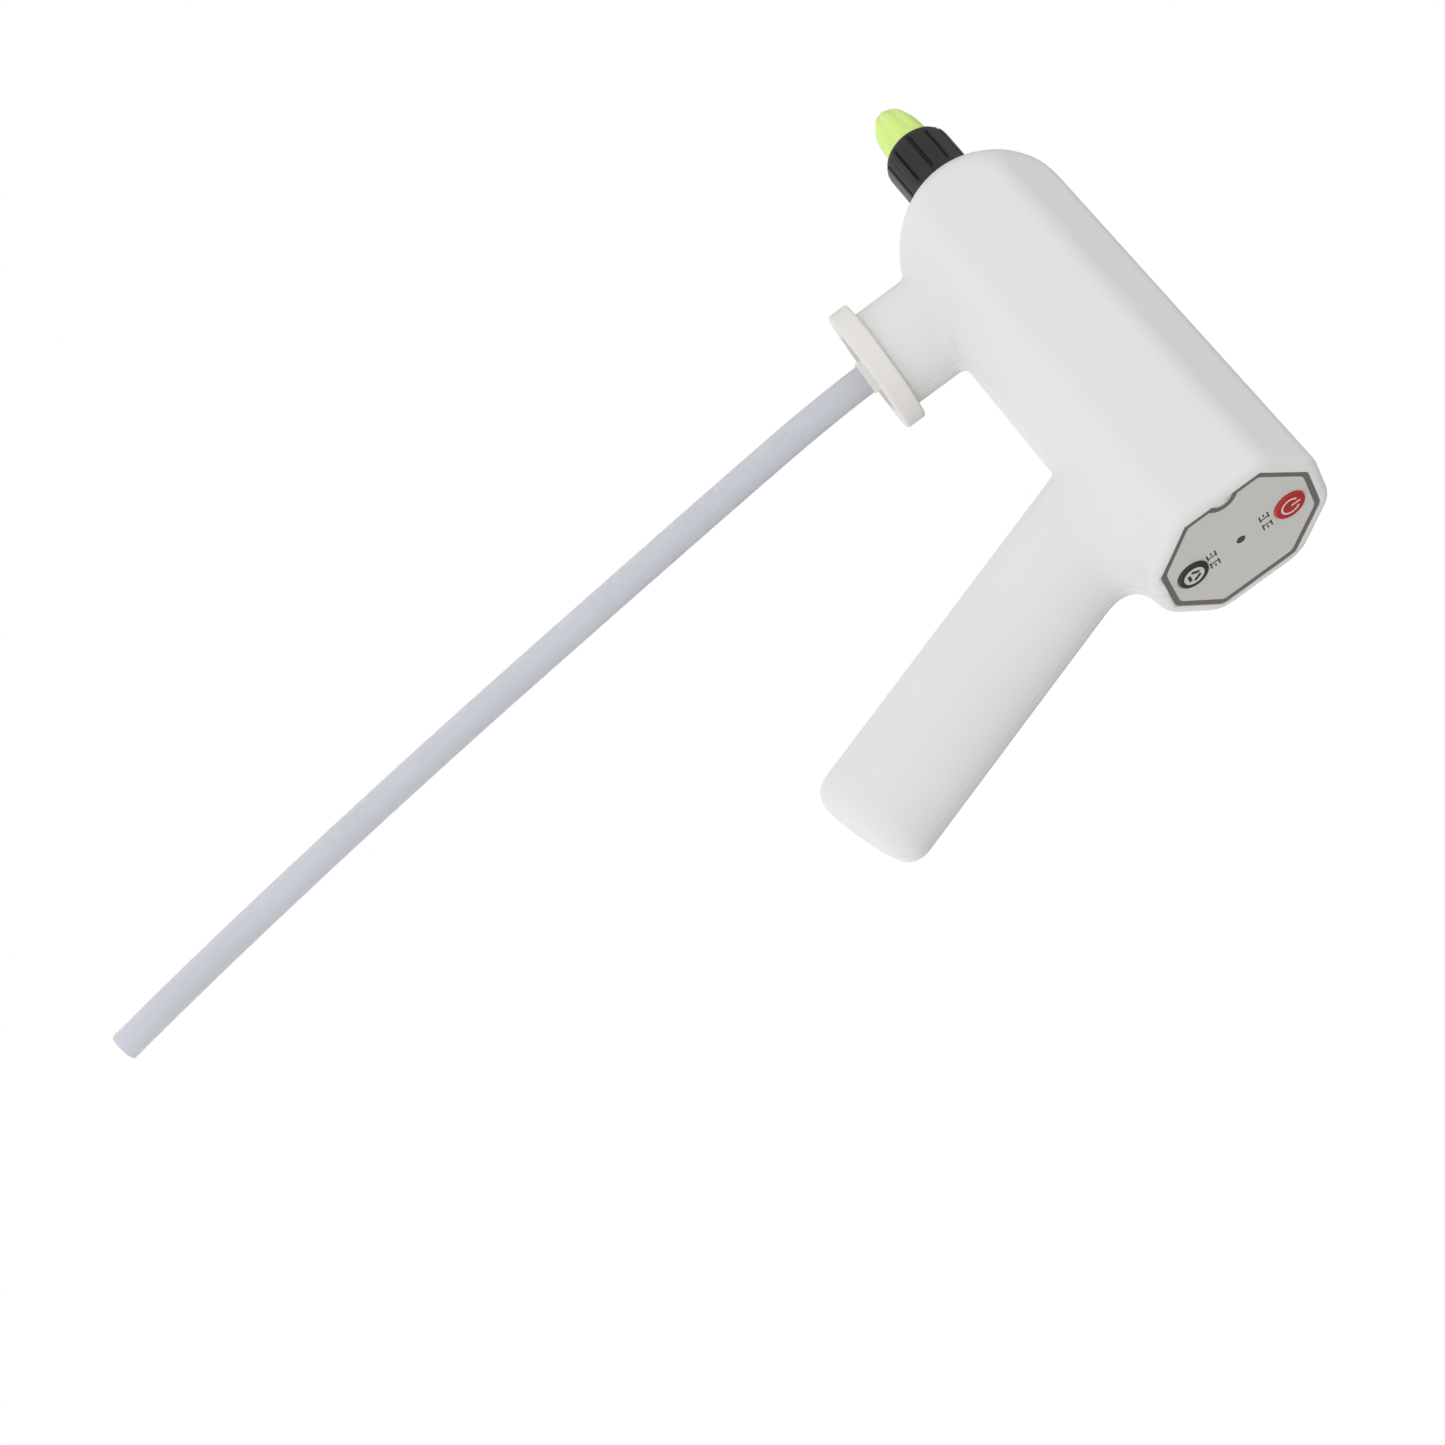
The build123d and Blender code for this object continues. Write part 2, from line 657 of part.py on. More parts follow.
def nozzle_tip():
    """Fluted spray tip, screwed on the pipe, with its orifice at the front."""
    z = nozzle_z
    back = collar_front + 4.0
    shoulder = collar_front - tip_reach * 0.53
    outline = Curve() + [
        Line((back, 0), (back, tip_d / 2)),
        Line((back, tip_d / 2), (shoulder, tip_d / 2 - 0.8)),
        Line((shoulder, tip_d / 2 - 0.8), (tip_front + 1.6, tip_front_d / 2 + 0.4)),
        Line((tip_front + 1.6, tip_front_d / 2 + 0.4), (tip_front, tip_front_d / 2 - 1.2)),
        Line((tip_front, tip_front_d / 2 - 1.2), (tip_front, 0)),
        Line((tip_front, 0), (back, 0)),
    ]
    profile = Plane(origin=(0, 0, z), x_dir=(1, 0, 0), z_dir=(0, -1, 0)) * make_face(outline)
    tip = revolve(profile, Axis((0, 0, z), (1, 0, 0)))
    for k in range(tip_flutes):
        angle = 360 * (k + 0.5) / tip_flutes
        flute = Rot(0, 90 - 12, 0) * Cylinder(1.6, 2 * tip_reach)
        tip -= Pos(tip_front, 0, z) * Rot(angle, 0, 0) * Pos(0, 0, tip_front_d / 2 + 1.9) * flute
    tip -= disc_x(stem_pipe_d + 2 * sliding, pipe_front - 0.5, back + 1, 0, z)
    tip -= disc_x(seal_od + 2 * sliding, seal_x - sliding, seal_x + seal_width + sliding, 0, z)
    tip -= disc_x(stem_bore, tip_front + 2.5, pipe_front, 0, z)
    return tip - disc_x(orifice_d, tip_front - 1, tip_front + 3, 0, z)


# ---- control panel --------------------------------------------------------------------------------
def rear_panel():
    """Plate behind the label, held in the shells' rear opening, with four board posts."""
    lip = octagon_bar(panel_inset - panel_lip, ridge_radius - 1, panel_back, panel_back + lip_thickness - 0.02)
    plate = label_outline(0, panel_back, panel_face) + lip
    plate -= notch_bar(0, panel_back + lip_thickness - 0.02, panel_face + 1)
    for y in (-11, 11):
        for z in (barrel_z - 15, barrel_z + 15):
            plate += disc_x(4.0, board_rear, panel_back + 0.5, y, z)
            plate -= disc_x(1.8, board_rear - 1, board_rear + 5, y, z)
    for z in button_zs:
        plate -= disc_x(button_d + 2 * seat, panel_back - 1, panel_face + 1, 0, z)
    return plate - disc_x(led_d + 2 * sliding, panel_back - 1, panel_face + 1, 0, barrel_z)


def panel_label():
    """Printed film on the panel, cut for the two buttons and the lamp."""
    film = label_outline(0, panel_face, label_face) - notch_bar(0, panel_face - 1, label_face + 1)
    for z in button_zs:
        film -= disc_x(button_d + 2 * seat, panel_face - 1, label_face + 1, 0, z)
    return film - disc_x(led_d + 2 * sliding, panel_face - 1, label_face + 1, 0, barrel_z)


switch_size = 6.0
switch_height = 3.5
plunger_d = 3.4
plunger_top = board_rear + 5.0


def button(z):
    """Domed cap held behind the panel by its rim, with a post down to the switch."""
    rim_back = panel_back - 1.1
    crown = label_face + button_crown
    cap = disc_x(button_d, panel_back - 0.1, crown, 0, z)
    cap = fillet(cap.edges().filter_by(GeomType.CIRCLE).sort_by(Axis.X)[-1], button_crown * 0.8)
    cap += disc_x(button_d + 2.4, rim_back, panel_back - 0.05, 0, z)
    return cap + disc_x(plunger_d, plunger_top + 0.02, rim_back + 0.1, 0, z)


def plunger(z):
    return disc_x(plunger_d, board_rear + 1.6, plunger_top, 0, z)


def switches():
    """Two tactile switch housings on the board."""
    housings = []
    for z in button_zs:
        half = switch_size / 2
        case = block(board_rear, board_rear + switch_height, -half, half, z - half, z + half)
        housings.append(case - disc_x(plunger_d + 2 * seat, board_rear + 0.8, board_rear + 6, 0, z))
    return Compound(children=housings)


def lamp_lens():
    return disc_x(led_d, board_rear + 2.0, label_face, 0, barrel_z)


def lamp():
    return block(board_rear, board_rear + 1.9, -1.6, 1.6, barrel_z - 0.8, barrel_z + 0.8)


def control_board():
    board = octagon_bar(panel_inset + 1.2, 0.0, board_front, board_rear)
    for y in (-11, 11):
        for z in (barrel_z - 15, barrel_z + 15):
            board -= disc_x(2.4, board_front - 1, board_rear + 1, y, z)
    return board


def board_screws():
    screws = []
    for y in (-11, 11):
        for z in (barrel_z - 15, barrel_z + 15):
            head = disc_x(4.0, board_front - 1.4, board_front, y, z)
            screws.append(head + disc_x(1.7, board_front, board_rear + 4, y, z))
    return Compound(children=screws)


def board_parts():
    """Chip, coil and capacitor on the front of the board."""
    chip = block(board_front - 1.6, board_front, -7, -2, barrel_z + 4, barrel_z + 9)
    coil = block(board_front - 4, board_front, 2, 8, barrel_z + 4, barrel_z + 10)
    can = disc_x(5.0, board_front - 7, board_front, 6, barrel_z - 10)
    return Compound(children=[chip, coil, can])


def charge_socket():
    """Charging receptacle on the board's edge, open through the right shell."""
    low = usb_z - usb_height / 2
    high = usb_z + usb_height / 2
    x0 = board_front - usb_thickness
    y1 = half_w - 1.0
    body = block(x0, board_front, y1 - 7.4, y1, low, high)
    body = fillet(body.edges().filter_by(Axis.Y), usb_thickness / 2 - 0.05)
    hollow = block(x0 + 0.4, board_front - 0.4, y1 - 6.4, y1 + 1, low + 0.4, high - 0.4)
    hollow = fillet(hollow.edges().filter_by(Axis.Y), usb_thickness / 2 - 0.45)
    tongue = block(x0 + 1.3, x0 + 2.0, y1 - 6.6, y1 - 0.8, low + 1.4, high - 1.4)
    return body - hollow + tongue


# ---- battery -------------------------------------------------------------------------------------
cell_low = grip_end - cell_end_gap
cell_high = cell_low - cell_length
tab_t = 0.3
pad_d = 14.0
lead_d = 1.5


def battery_cell():
    middle = grip_plane((cell_low + cell_high) / 2)
    cell = middle * Cylinder(cell_d / 2, cell_length)
    return fillet(cell.edges().filter_by(GeomType.CIRCLE), 0.8)


def battery_pads():
    """Foam discs that keep the cell from rattling."""
    low = grip_plane(cell_low + tab_t + 0.05 + 1.5) * Cylinder(pad_d / 2, 3.0)
    high = grip_plane(cell_high - tab_t - 0.05 - 1.5) * Cylinder(pad_d / 2, 3.0)
    return Compound(children=[low, high])


def battery_tabs():
    """Nickel strips spot-welded to the cell's ends."""
    low = grip_plane(cell_low + tab_t / 2) * Pos(1.6, 0, 0) * Box(20, 4, tab_t)
    high = grip_plane(cell_high - tab_t / 2) * Box(18, 4, tab_t)
    return Compound(children=[low, high])


def lead(points, label):
    return tube_along(rounded_path(points, label), lead_d, 0, label)


def battery_leads():
    """Two insulated wires, from the cell's upper and lower tabs to the board."""
    top = along_grip(cell_high - tab_t - seat, -8.3)
    low = [along_grip(cell_low - seat, -10.9), along_grip(cell_low - 22, -11.4), along_grip(cell_low - 44, -10.8)]
    starts = ([(top.X, -1.3, top.Z)], [(p.X, 1.3, p.Z) for p in low])
    wires = []
    for side, start in zip((-1, 1), starts):
        y = side * 1.3
        points = start + [
            (top.X - 1.5, y, top.Z + 9),
            (top.X - 4.5, y + side * 1.0, top.Z + 20),
            (board_front - 9, y + side * 3.0, barrel_z - 17.5),
            (board_front - 0.05, y + side * 3.0, barrel_z - 17.5),
        ]
        wires.append(lead(points, "battery_lead"))
    return Compound(children=wires)


def motor_leads():
    """Two insulated wires from the motor's tabs to the board."""
    back = motor_front + motor_length
    wires = []
    for side in (-1, 1):
        y = side * (8 + 0.25 + lead_d / 2)
        points = [
            (back + 2.0, y, drive_z),
            (back + 10, y + side * 0.3, drive_z - 1.0),
            (board_front - 14, y + side * 1.6, barrel_z + 3.0),
            (board_front - 0.05, y + side * 1.6, barrel_z + 3.0),
        ]
        wires.append(lead(points, "motor_lead"))
    return Compound(children=wires)


# ---- write every piece -------------------------------------------------------------------------------
shell = casing()
nodes = {
    "left_shell": shell_half(shell, -1),
    "right_shell": shell_half(shell, 1),
    "shell_screws": shell_screws(),
    "bottle_adapter": bottle_adapter(),
    "bottle_gasket": bottle_gasket(),
    "dip_tube": dip_tube(),
    "inlet_hose": inlet_hose(),
    "outlet_hose": outlet_hose(),
    "pump_body": pump_body(),
    "pump_cover": pump_cover(),
    "pump_screws": pump_screws(),
    "gear_pin": gear_pin(),
    "drive_gear": drive_gear(),
    "idler_gear": idler_gear(),
    "shaft_seal": shaft_seal(),
    "motor_can": motor_can(),
    "motor_magnets": motor_magnets(),
    "motor_endcap": motor_endcap(),
    "motor_terminals": motor_terminals(),
    "motor_shaft": motor_shaft(),
    "rotor_core": rotor_core(),
    "commutator": commutator(),
    "nozzle_stem": nozzle_stem(),
    "swirl_core": swirl_core(),
    "collar_washer": collar_washer(),
    "collar_nut": collar_nut(),
    "tip_seal": tip_seal(),
    "nozzle_tip": nozzle_tip(),
    "rear_panel": rear_panel(),
    "panel_label": panel_label(),
    "power_button": button(button_zs[0]),
    "mode_button": button(button_zs[1]),
    "power_plunger": plunger(button_zs[0]),
    "mode_plunger": plunger(button_zs[1]),
    "switch_housings": switches(),
    "lamp_lens": lamp_lens(),
    "status_lamp": lamp(),
    "control_board": control_board(),
    "board_screws": board_screws(),
    "board_parts": board_parts(),
    "charge_socket": charge_socket(),
    "battery_cell": battery_cell(),
    "battery_pads": battery_pads(),
    "battery_tabs": battery_tabs(),
    "battery_leads": battery_leads(),
    "motor_leads": motor_leads(),
}

os.makedirs("parts", exist_ok=True)
for name, piece in nodes.items():
    export_step(piece, "parts/" + name + ".step")
print(len(nodes), "nodes")
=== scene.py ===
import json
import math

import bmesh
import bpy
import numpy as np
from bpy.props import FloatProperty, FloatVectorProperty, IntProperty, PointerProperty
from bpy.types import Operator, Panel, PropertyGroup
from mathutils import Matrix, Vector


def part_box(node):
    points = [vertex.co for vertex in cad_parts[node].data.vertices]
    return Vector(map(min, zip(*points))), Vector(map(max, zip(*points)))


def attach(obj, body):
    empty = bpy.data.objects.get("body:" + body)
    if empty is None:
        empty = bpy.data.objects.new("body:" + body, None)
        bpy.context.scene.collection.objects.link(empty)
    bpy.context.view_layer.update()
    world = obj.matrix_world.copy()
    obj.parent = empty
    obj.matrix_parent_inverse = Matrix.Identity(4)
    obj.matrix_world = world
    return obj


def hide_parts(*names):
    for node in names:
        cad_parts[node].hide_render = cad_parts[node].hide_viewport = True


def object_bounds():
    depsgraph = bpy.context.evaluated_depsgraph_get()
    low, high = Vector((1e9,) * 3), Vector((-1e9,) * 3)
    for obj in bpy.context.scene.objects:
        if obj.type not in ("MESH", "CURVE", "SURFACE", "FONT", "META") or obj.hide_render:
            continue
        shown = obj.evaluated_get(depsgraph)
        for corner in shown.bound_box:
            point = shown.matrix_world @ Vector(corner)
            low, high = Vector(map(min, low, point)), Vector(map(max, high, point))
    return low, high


bl_info = {
    "name": "Cordless Spray Gun",
    "version": (1, 0, 0),
    "blender": (4, 5, 0),
    "location": "3D View > Sidebar > Spray Gun",
    "description": "Builds a cordless bottle-top spray gun around its packed frame",
    "category": "Add Mesh",
}

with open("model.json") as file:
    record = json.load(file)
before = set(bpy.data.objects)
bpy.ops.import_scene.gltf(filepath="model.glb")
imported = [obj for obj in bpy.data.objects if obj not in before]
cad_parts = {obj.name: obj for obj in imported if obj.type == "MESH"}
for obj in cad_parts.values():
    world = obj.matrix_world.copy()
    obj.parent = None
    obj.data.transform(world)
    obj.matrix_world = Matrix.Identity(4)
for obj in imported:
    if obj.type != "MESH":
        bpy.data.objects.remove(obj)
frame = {"nodes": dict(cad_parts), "record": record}

CAD_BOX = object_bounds()
MM = 0.001


# ---- settings that a user would change -----------------------------------------------------------
def length(name, description, millimetres):
    return FloatProperty(name=name, description=description, default=millimetres * MM,
                         min=0.0, precision=5, unit="LENGTH", subtype="DISTANCE")


def paint(name, description, red, green, blue):
    return FloatVectorProperty(name=name, description=description, default=(red, green, blue),
                               min=0.0, max=1.0, size=3, subtype="COLOR")


class CasingSizes(PropertyGroup):
    barrel_width: length("Barrel width", "Across the flat sides", 52.5)
    barrel_height: length("Barrel height", "Across the flat top and bottom", 57.0)
    barrel_z: length("Barrel height above the socket", "Centre line above the socket's mouth", 53.0)
    barrel_rear: length("Barrel rear", "Rear rim from the socket's axis", 126.6)
    top_flat: length("Top facet", "Width of the flat top and bottom facets", 19.6)
    side_flat: length("Side facet", "Height of the flat side facets", 28.4)
    ridge_radius: length("Ridge rounding", "Rounding of the long ridges", 10.0)
    rim_radius: length("Rim rounding", "Rounding of the rear rim", 3.4)
    dome_start: FloatProperty(name="Dome start", description="Where the nose begins to close",
                              default=-0.6 * MM, precision=5, unit="LENGTH", subtype="DISTANCE")
    dome_length: length("Dome length", "From there to the nose's front", 39.7)
    dome_radius: length("Dome radius", "Radius of the nose's round form", 31.8)
    dome_blend: length("Dome blend", "Softness of the facets' ends on the nose", 3.0)
    nozzle_z: length("Nozzle height", "The nozzle's axis above the socket's mouth", 54.2)
    nose_boss: length("Nose boss", "Diameter of the boss behind the collar", 20.8)
    nose_boss_front: length("Nose boss front", "From the socket's axis forward", 41.6)
    neck_diameter: length("Neck", "Outer diameter of the neck", 33.0)
    neck_foot: length("Neck foot", "Height of the neck's lower end", 6.9)
    neck_blend: length("Neck blend", "Fillet between the neck and the barrel", 3.0)
    grip_depth: length("Grip depth", "Front to back", 37.0)
    grip_width: length("Grip width", "Side to side", 31.6)
    grip_x: length("Grip place", "The grip's centre line, rearward of the socket", 117.6)
    grip_drop: length("Grip level", "Depth of that point below the socket's mouth", 42.0)
    grip_end: length("Grip end", "From that point to the grip's lower end", 40.5)
    grip_end_radius: length("Grip end rounding", "Rounding of the lower end", 8.0)
    grip_front_blend: length("Front fillet", "Between the grip's front and the belly", 3.5)
    grip_back_blend: length("Back fillet", "Between the grip's back and the belly", 13.0)
    finger_pitch: length("Finger pitch", "Distance between the finger hollows", 21.0)
    finger_depth: length("Finger depth", "Depth of the finger hollows", 1.3)
    finger_first: length("First finger", "From the belly to the first cusp", 9.0)
    sink_x: length("Sink mark place", "The sink mark's distance behind the socket", 127.8)
    sink_drop: length("Sink mark level", "The sink mark's depth below the socket's mouth", 67.0)
    sink_depth: length("Sink mark depth", "Depth of the round sink mark on the grip's side", 0.22)
    mesh_step: length("Mesh step", "Size of the grid that the casing's face is made on", 1.0)


class TubeSizes(PropertyGroup):
    outer: length("Tube", "Outer diameter of the dip tube", 9.5)
    bore: length("Bore", "Inner diameter of the dip tube", 6.5)
    around: IntProperty(name="Points around", description="Points in one ring", default=56, min=12)


class NozzleSizes(PropertyGroup):
    rib_height: length("Rib height", "How far the ribs stand proud of the front ring", 0.75)
    rib_start: length("Rib start", "From the collar's front to the ribs", 2.3)
    skirt: length("Collar skirt", "Length of the thin skirt over the nose boss", 3.3)
    ribs: IntProperty(name="Ribs", description="Wide ribs round the collar", default=12, min=3)
    collar_lip: length("Collar lip", "Thickness of the collar's front wall", 5.6)
    collar_thread: length("Collar thread", "Diameter of the collar's threaded bore", 19.6)
    tip_room: length("Tip room", "Clearance between the tip and the collar", 0.3)
    tip: length("Tip", "Diameter of the nozzle tip at the collar", 16.2)
    lobes: IntProperty(name="Lobes", description="Long lobes round the tip", default=8, min=3)
    lobe_depth: length("Lobe depth", "Depth of the hollows between the lobes", 0.55)
    pipe_bore: length("Pipe bore", "Bore that takes the pump's outlet pipe", 7.1)
    swirl_bore: length("Swirl bore", "Bore behind the orifice", 3.6)
    orifice: length("Orifice", "Diameter of the spray hole", 1.0)


class AdapterSizes(PropertyGroup):
    flange: length("Flange", "Diameter of the flange ring", 41.6)
    thickness: length("Flange thickness", "Height of the flange ring", 6.9)
    rounding: length("Flange rounding", "Rounding of the flange's four edges", 1.0)
    clear: length("Clear radius", "Radius that holds everything above and below the flange", 16.9)


class PanelSizes(PropertyGroup):
    inset: length("Label inset", "From the barrel's outline to the label's", 3.85)
    border: length("Border", "Width of the printed border line", 1.7)
    notch_radius: length("Notch", "Radius of the notch in the label's long edge", 3.6)
    notch_depth: length("Notch depth", "How far the notch reaches into the label", 2.6)
    corner: IntProperty(name="Corner sharpness", description="Higher makes the label's corners sharper",
                        default=70, min=8)
    cap: length("Button", "Diameter of the two buttons", 9.9)
    cap_rounding: length("Button rounding", "Rounding of the buttons' edge", 0.5)
    rim_front: length("Rim front", "From a button's face back to its hidden rim", 3.65)
    rim_back: length("Rim back", "From a button's face back to the rim's far side", 4.7)
    post: length("Button post", "Diameter of the post under a button", 3.4)
    print_height: length("Print", "Thickness of the printed ink", 0.03)


class FinishColours(PropertyGroup):
    casing: paint("Casing", "White moulded plastic", 0.81, 0.81, 0.81)
    adapter: paint("Adapter", "Cream-white moulded plastic", 0.82, 0.80, 0.76)
    tube: paint("Tube", "Bluish translucent plastic", 0.88, 0.90, 0.96)
    tip: paint("Tip", "Yellow-green plastic", 0.70, 0.93, 0.24)
    collar: paint("Collar", "Black plastic", 0.017, 0.0155, 0.0175)
    label: paint("Label", "Printed film", 0.62, 0.612, 0.585)
    border: paint("Border ink", "Dark grey ink", 0.15, 0.137, 0.132)
    red: paint("Red ink", "Red of the upper button", 0.46, 0.008, 0.010)


GROUPS = (
    ("casing", CasingSizes),
    ("tube", TubeSizes),
    ("nozzle", NozzleSizes),
    ("adapter", AdapterSizes),
    ("panel", PanelSizes),
    ("colours", FinishColours),
)


def sizes(group):
    return getattr(bpy.context.scene, "spray_gun_" + group)


# ---- meshes from arrays --------------------------------------------------------------------------
def mesh_from(name, points, *face_sets):
    """A mesh from an array of points and one or more arrays of faces, each with its own corner count."""
    points = np.asarray(points, np.float64).reshape(-1, 3)
    loops = np.concatenate([np.asarray(f).ravel() for f in face_sets])
    counts = np.concatenate([np.full(len(f), np.asarray(f).shape[1]) for f in face_sets])
    mesh = mesh_of_arrays(name, points, loops, counts)
    mesh.validate()
    return mesh


def mesh_of_arrays(name, points, loops, counts):
    """A mesh from its points, its corners one after the other and each face's corner count."""
    mesh = bpy.data.meshes.new(name)
    mesh.vertices.add(len(points))
    mesh.vertices.foreach_set("co", points.ravel())
    mesh.loops.add(len(loops))
    mesh.loops.foreach_set("vertex_index", loops.astype(np.int32))
    mesh.polygons.add(len(counts))
    starts = np.concatenate([[0], np.cumsum(counts)[:-1]])
    mesh.polygons.foreach_set("loop_start", starts.astype(np.int32))
    mesh.update(calc_edges=True)
    return mesh


def add_object(name, mesh, smooth=True):
    piece = bpy.data.objects.new(name, mesh)
    bpy.context.scene.collection.objects.link(piece)
    mesh.polygons.foreach_set("use_smooth", np.full(len(mesh.polygons), smooth))
    return piece


def ring_quads(rows, columns, closed_rows=False):
    """Quads of a grid of rows by columns that is closed round its columns, and round its rows if asked."""
    last = rows if closed_rows else rows - 1
    r, c = np.meshgrid(np.arange(last), np.arange(columns), indexing="ij")
    a = r * columns + c
    b = r * columns + (c + 1) % columns
    up = (r + 1) % rows * columns
    return np.stack([a, b, up + (c + 1) % columns, up + c], -1).reshape(-1, 4)


def outward(mesh):
    """Turns the faces of a closed mesh outwards, by the sign of the volume that they enclose."""
    mesh.calc_loop_triangles()
    co = np.zeros(len(mesh.vertices) * 3)
    mesh.vertices.foreach_get("co", co)
    tri = np.zeros(len(mesh.loop_triangles) * 3, np.int32)
    mesh.loop_triangles.foreach_get("vertices", tri)
    corners = co.reshape(-1, 3)[tri.reshape(-1, 3)]
    volume = np.einsum("ij,ij->i", corners[:, 0], np.cross(corners[:, 1], corners[:, 2])).sum()
    if volume < 0:
        mesh.flip_normals()
    return mesh


def round_corners(corners, radii, steps=5):
    """A profile with rounded corners: each corner becomes an arc that meets both its sides.
    The arc's points are start + (corner - start) and so on, a quadratic curve through the two ends
    with the corner as its control point."""
    corners = np.asarray(corners, float)
    out = []
    count = len(corners)
    for i, radius in enumerate(radii):
        here = corners[i]
        if not radius:
            out.append(here[None])
            continue
        before = corners[i - 1] - here
        after = corners[(i + 1) % count] - here
        a = here + before / np.linalg.norm(before) * radius
        b = here + after / np.linalg.norm(after) * radius
        t = np.linspace(0, 1, steps)[:, None]
        out.append(a * (1 - t) ** 2 + 2 * here * t * (1 - t) + b * t ** 2)
    return np.concatenate(out)


def turned(name, profile, axis="X", centre=(0, 0, 0), around=96):
    """A solid of revolution. The profile holds (along, radius) pairs; a point at angle t is centre
    + along the axis + radius times (cos t, sin t) across it. An open profile ends in two poles."""
    profile = np.asarray(profile, float)
    t = np.arange(around) * 2 * math.pi / around
    along = np.repeat(profile[:, 0], around).reshape(-1, around)
    a = profile[:, 1][:, None] * np.cos(t)
    b = profile[:, 1][:, None] * np.sin(t)
    grid = np.stack([along, a, b] if axis == "X" else [a, b, along], -1).reshape(-1, 3)
    grid = grid + np.asarray(centre)
    rows = len(profile)
    inner = grid[around:-around]
    quads = ring_quads(rows - 2, around)
    poles = np.stack([grid[0], grid[-1]])
    count = len(inner)
    ring = np.arange(around)
    nxt = (ring + 1) % around
    start = np.stack([np.full(around, count), nxt, ring], -1)
    last = (rows - 3) * around
    end = np.stack([np.full(around, count + 1), last + ring, last + nxt], -1)
    return outward(mesh_from(name, np.concatenate([inner, poles]), quads, start, end))


def prism_x(name, outline, x0, x1):
    """A straight bar along X whose section is the closed outline of (y, z) points."""
    outline = np.asarray(outline, float)
    return bar(name, *(np.column_stack([np.full(len(outline), x), outline]) for x in (x0, x1)))


def bar(name, start, end):
    """A closed bar between two rings of as many points each."""
    ring = np.arange(len(start))
    ends = np.stack([ring[::-1], ring + len(start)])
    return outward(mesh_from(name, np.concatenate([start, end]), ring_quads(2, len(start)), ends))


def band_x(name, outer, inner, x0, x1):
    """A flat band along two outlines of as many points each, from x0 to x1."""
    loops = [(outer, x0), (outer, x1), (inner, x1), (inner, x0)]
    points = [np.column_stack([np.full(len(o), x), o]) for o, x in loops]
    return outward(mesh_from(name, np.concatenate(points), ring_quads(4, len(outer), closed_rows=True)))


def circle(radius, count=64, y=0.0, z=0.0):
    t = np.arange(count) * 2 * math.pi / count
    return np.column_stack([y + radius * np.cos(t), z + radius * np.sin(t)])


def cylinder(name, radius, start, end, around=64):
    """A round bar between two points: a circle in the plane across the line, at both ends."""
    start, end = np.asarray(start, float), np.asarray(end, float)
    axis = (end - start) / np.linalg.norm(end - start)
    side = np.cross(axis, (0.0, 0.0, 1.0) if abs(axis[2]) < 0.9 else (1.0, 0.0, 0.0))
    side /= np.linalg.norm(side)
    up = np.cross(axis, side)
    t = (np.arange(around) * 2 * math.pi / around)[:, None]
    circle_points = radius * (np.cos(t) * side + np.sin(t) * up)
    return bar(name, start + circle_points, end + circle_points)


def slab(name, low, high):
    """A box between two corners."""
    low, high = np.asarray(low, float), np.asarray(high, float)
    corner = np.array([[0, 0], [1, 0], [1, 1], [0, 1]])
    return bar(name, *(low + np.column_stack([corner, np.full(4, level)]) * (high - low) for level in (0, 1)))


def combine(mesh, tool, operation):
    """The first mesh cut by, joined with, or kept only inside the second; both are used up."""
    body = bpy.data.objects.new("body", mesh)
    other = bpy.data.objects.new("tool", tool)
    for o in (body, other):
        bpy.context.scene.collection.objects.link(o)
    step = body.modifiers.new("step", "BOOLEAN")
    step.operation = operation
    step.solver = "MANIFOLD"
    step.object = other
    bpy.context.view_layer.update()
    made = bpy.data.meshes.new_from_object(body.evaluated_get(bpy.context.evaluated_depsgraph_get()))
    bpy.data.objects.remove(body)
    bpy.data.objects.remove(other)
    if not len(made.polygons):
        raise RuntimeError("a cut on " + mesh.name + " left nothing")
    if len(made.polygons) == len(mesh.polygons) and len(made.vertices) == len(mesh.vertices):
        raise RuntimeError("a cut on " + mesh.name + " by " + tool.name + " changed nothing")
    return made


def joined(name, meshes):
    """Several meshes as one, each kept as its own closed part."""
    points, loops, counts, first = [], [], [], 0
    for mesh in meshes:
        co = np.zeros(len(mesh.vertices) * 3)
        mesh.vertices.foreach_get("co", co)
        corner = np.zeros(len(mesh.loops), np.int32)
        mesh.loops.foreach_get("vertex_index", corner)
        total = np.zeros(len(mesh.polygons), np.int32)
        mesh.polygons.foreach_get("loop_total", total)
        points.append(co.reshape(-1, 3))
        loops.append(corner + first)
        counts.append(total)
        first += len(mesh.vertices)
    return mesh_of_arrays(name, *(np.concatenate(part) for part in (points, loops, counts)))


def sharp_by_angle(piece, degrees=35.0):
    """Smooth shading that stops at edges where the face turns by more than the angle."""
    mesh = piece.data
    mesh.polygons.foreach_set("use_smooth", np.ones(len(mesh.polygons), bool))
    mesh.set_sharp_from_angle(angle=math.radians(degrees))
    return piece


# ---- rounded forms as distance fields ------------------------------------------------------------
def soft_max(a, b, band):
    """The larger of two distances, plus (band - their difference) squared / (4 band) where they are
    closer than the band, which rounds the corner between two forms."""
    near = np.maximum(band - np.abs(a - b), 0)
    return np.maximum(a, b) + near * near / (4 * band)


def soft_min(a, b, band):
    return -soft_max(-a, -b, band)


def corner_band(radius, turn):
    """The band that rounds a corner of this turn to about this radius: radius times (1 - cos turn)."""
    return radius * (1 - math.cos(turn))


def ellipse_distance(parts, radii):
    """Roughly the distance to an ellipse or ellipsoid: k (k - 1) / g, with k the length of the point
    over the radii and g the length of it over the radii squared."""
    k = np.sqrt(sum((p / r) ** 2 for p, r in zip(parts, radii)))
    g = np.sqrt(sum((p / r ** 2) ** 2 for p, r in zip(parts, radii)))
    return k * (k - 1) / np.maximum(g, 1e-6)


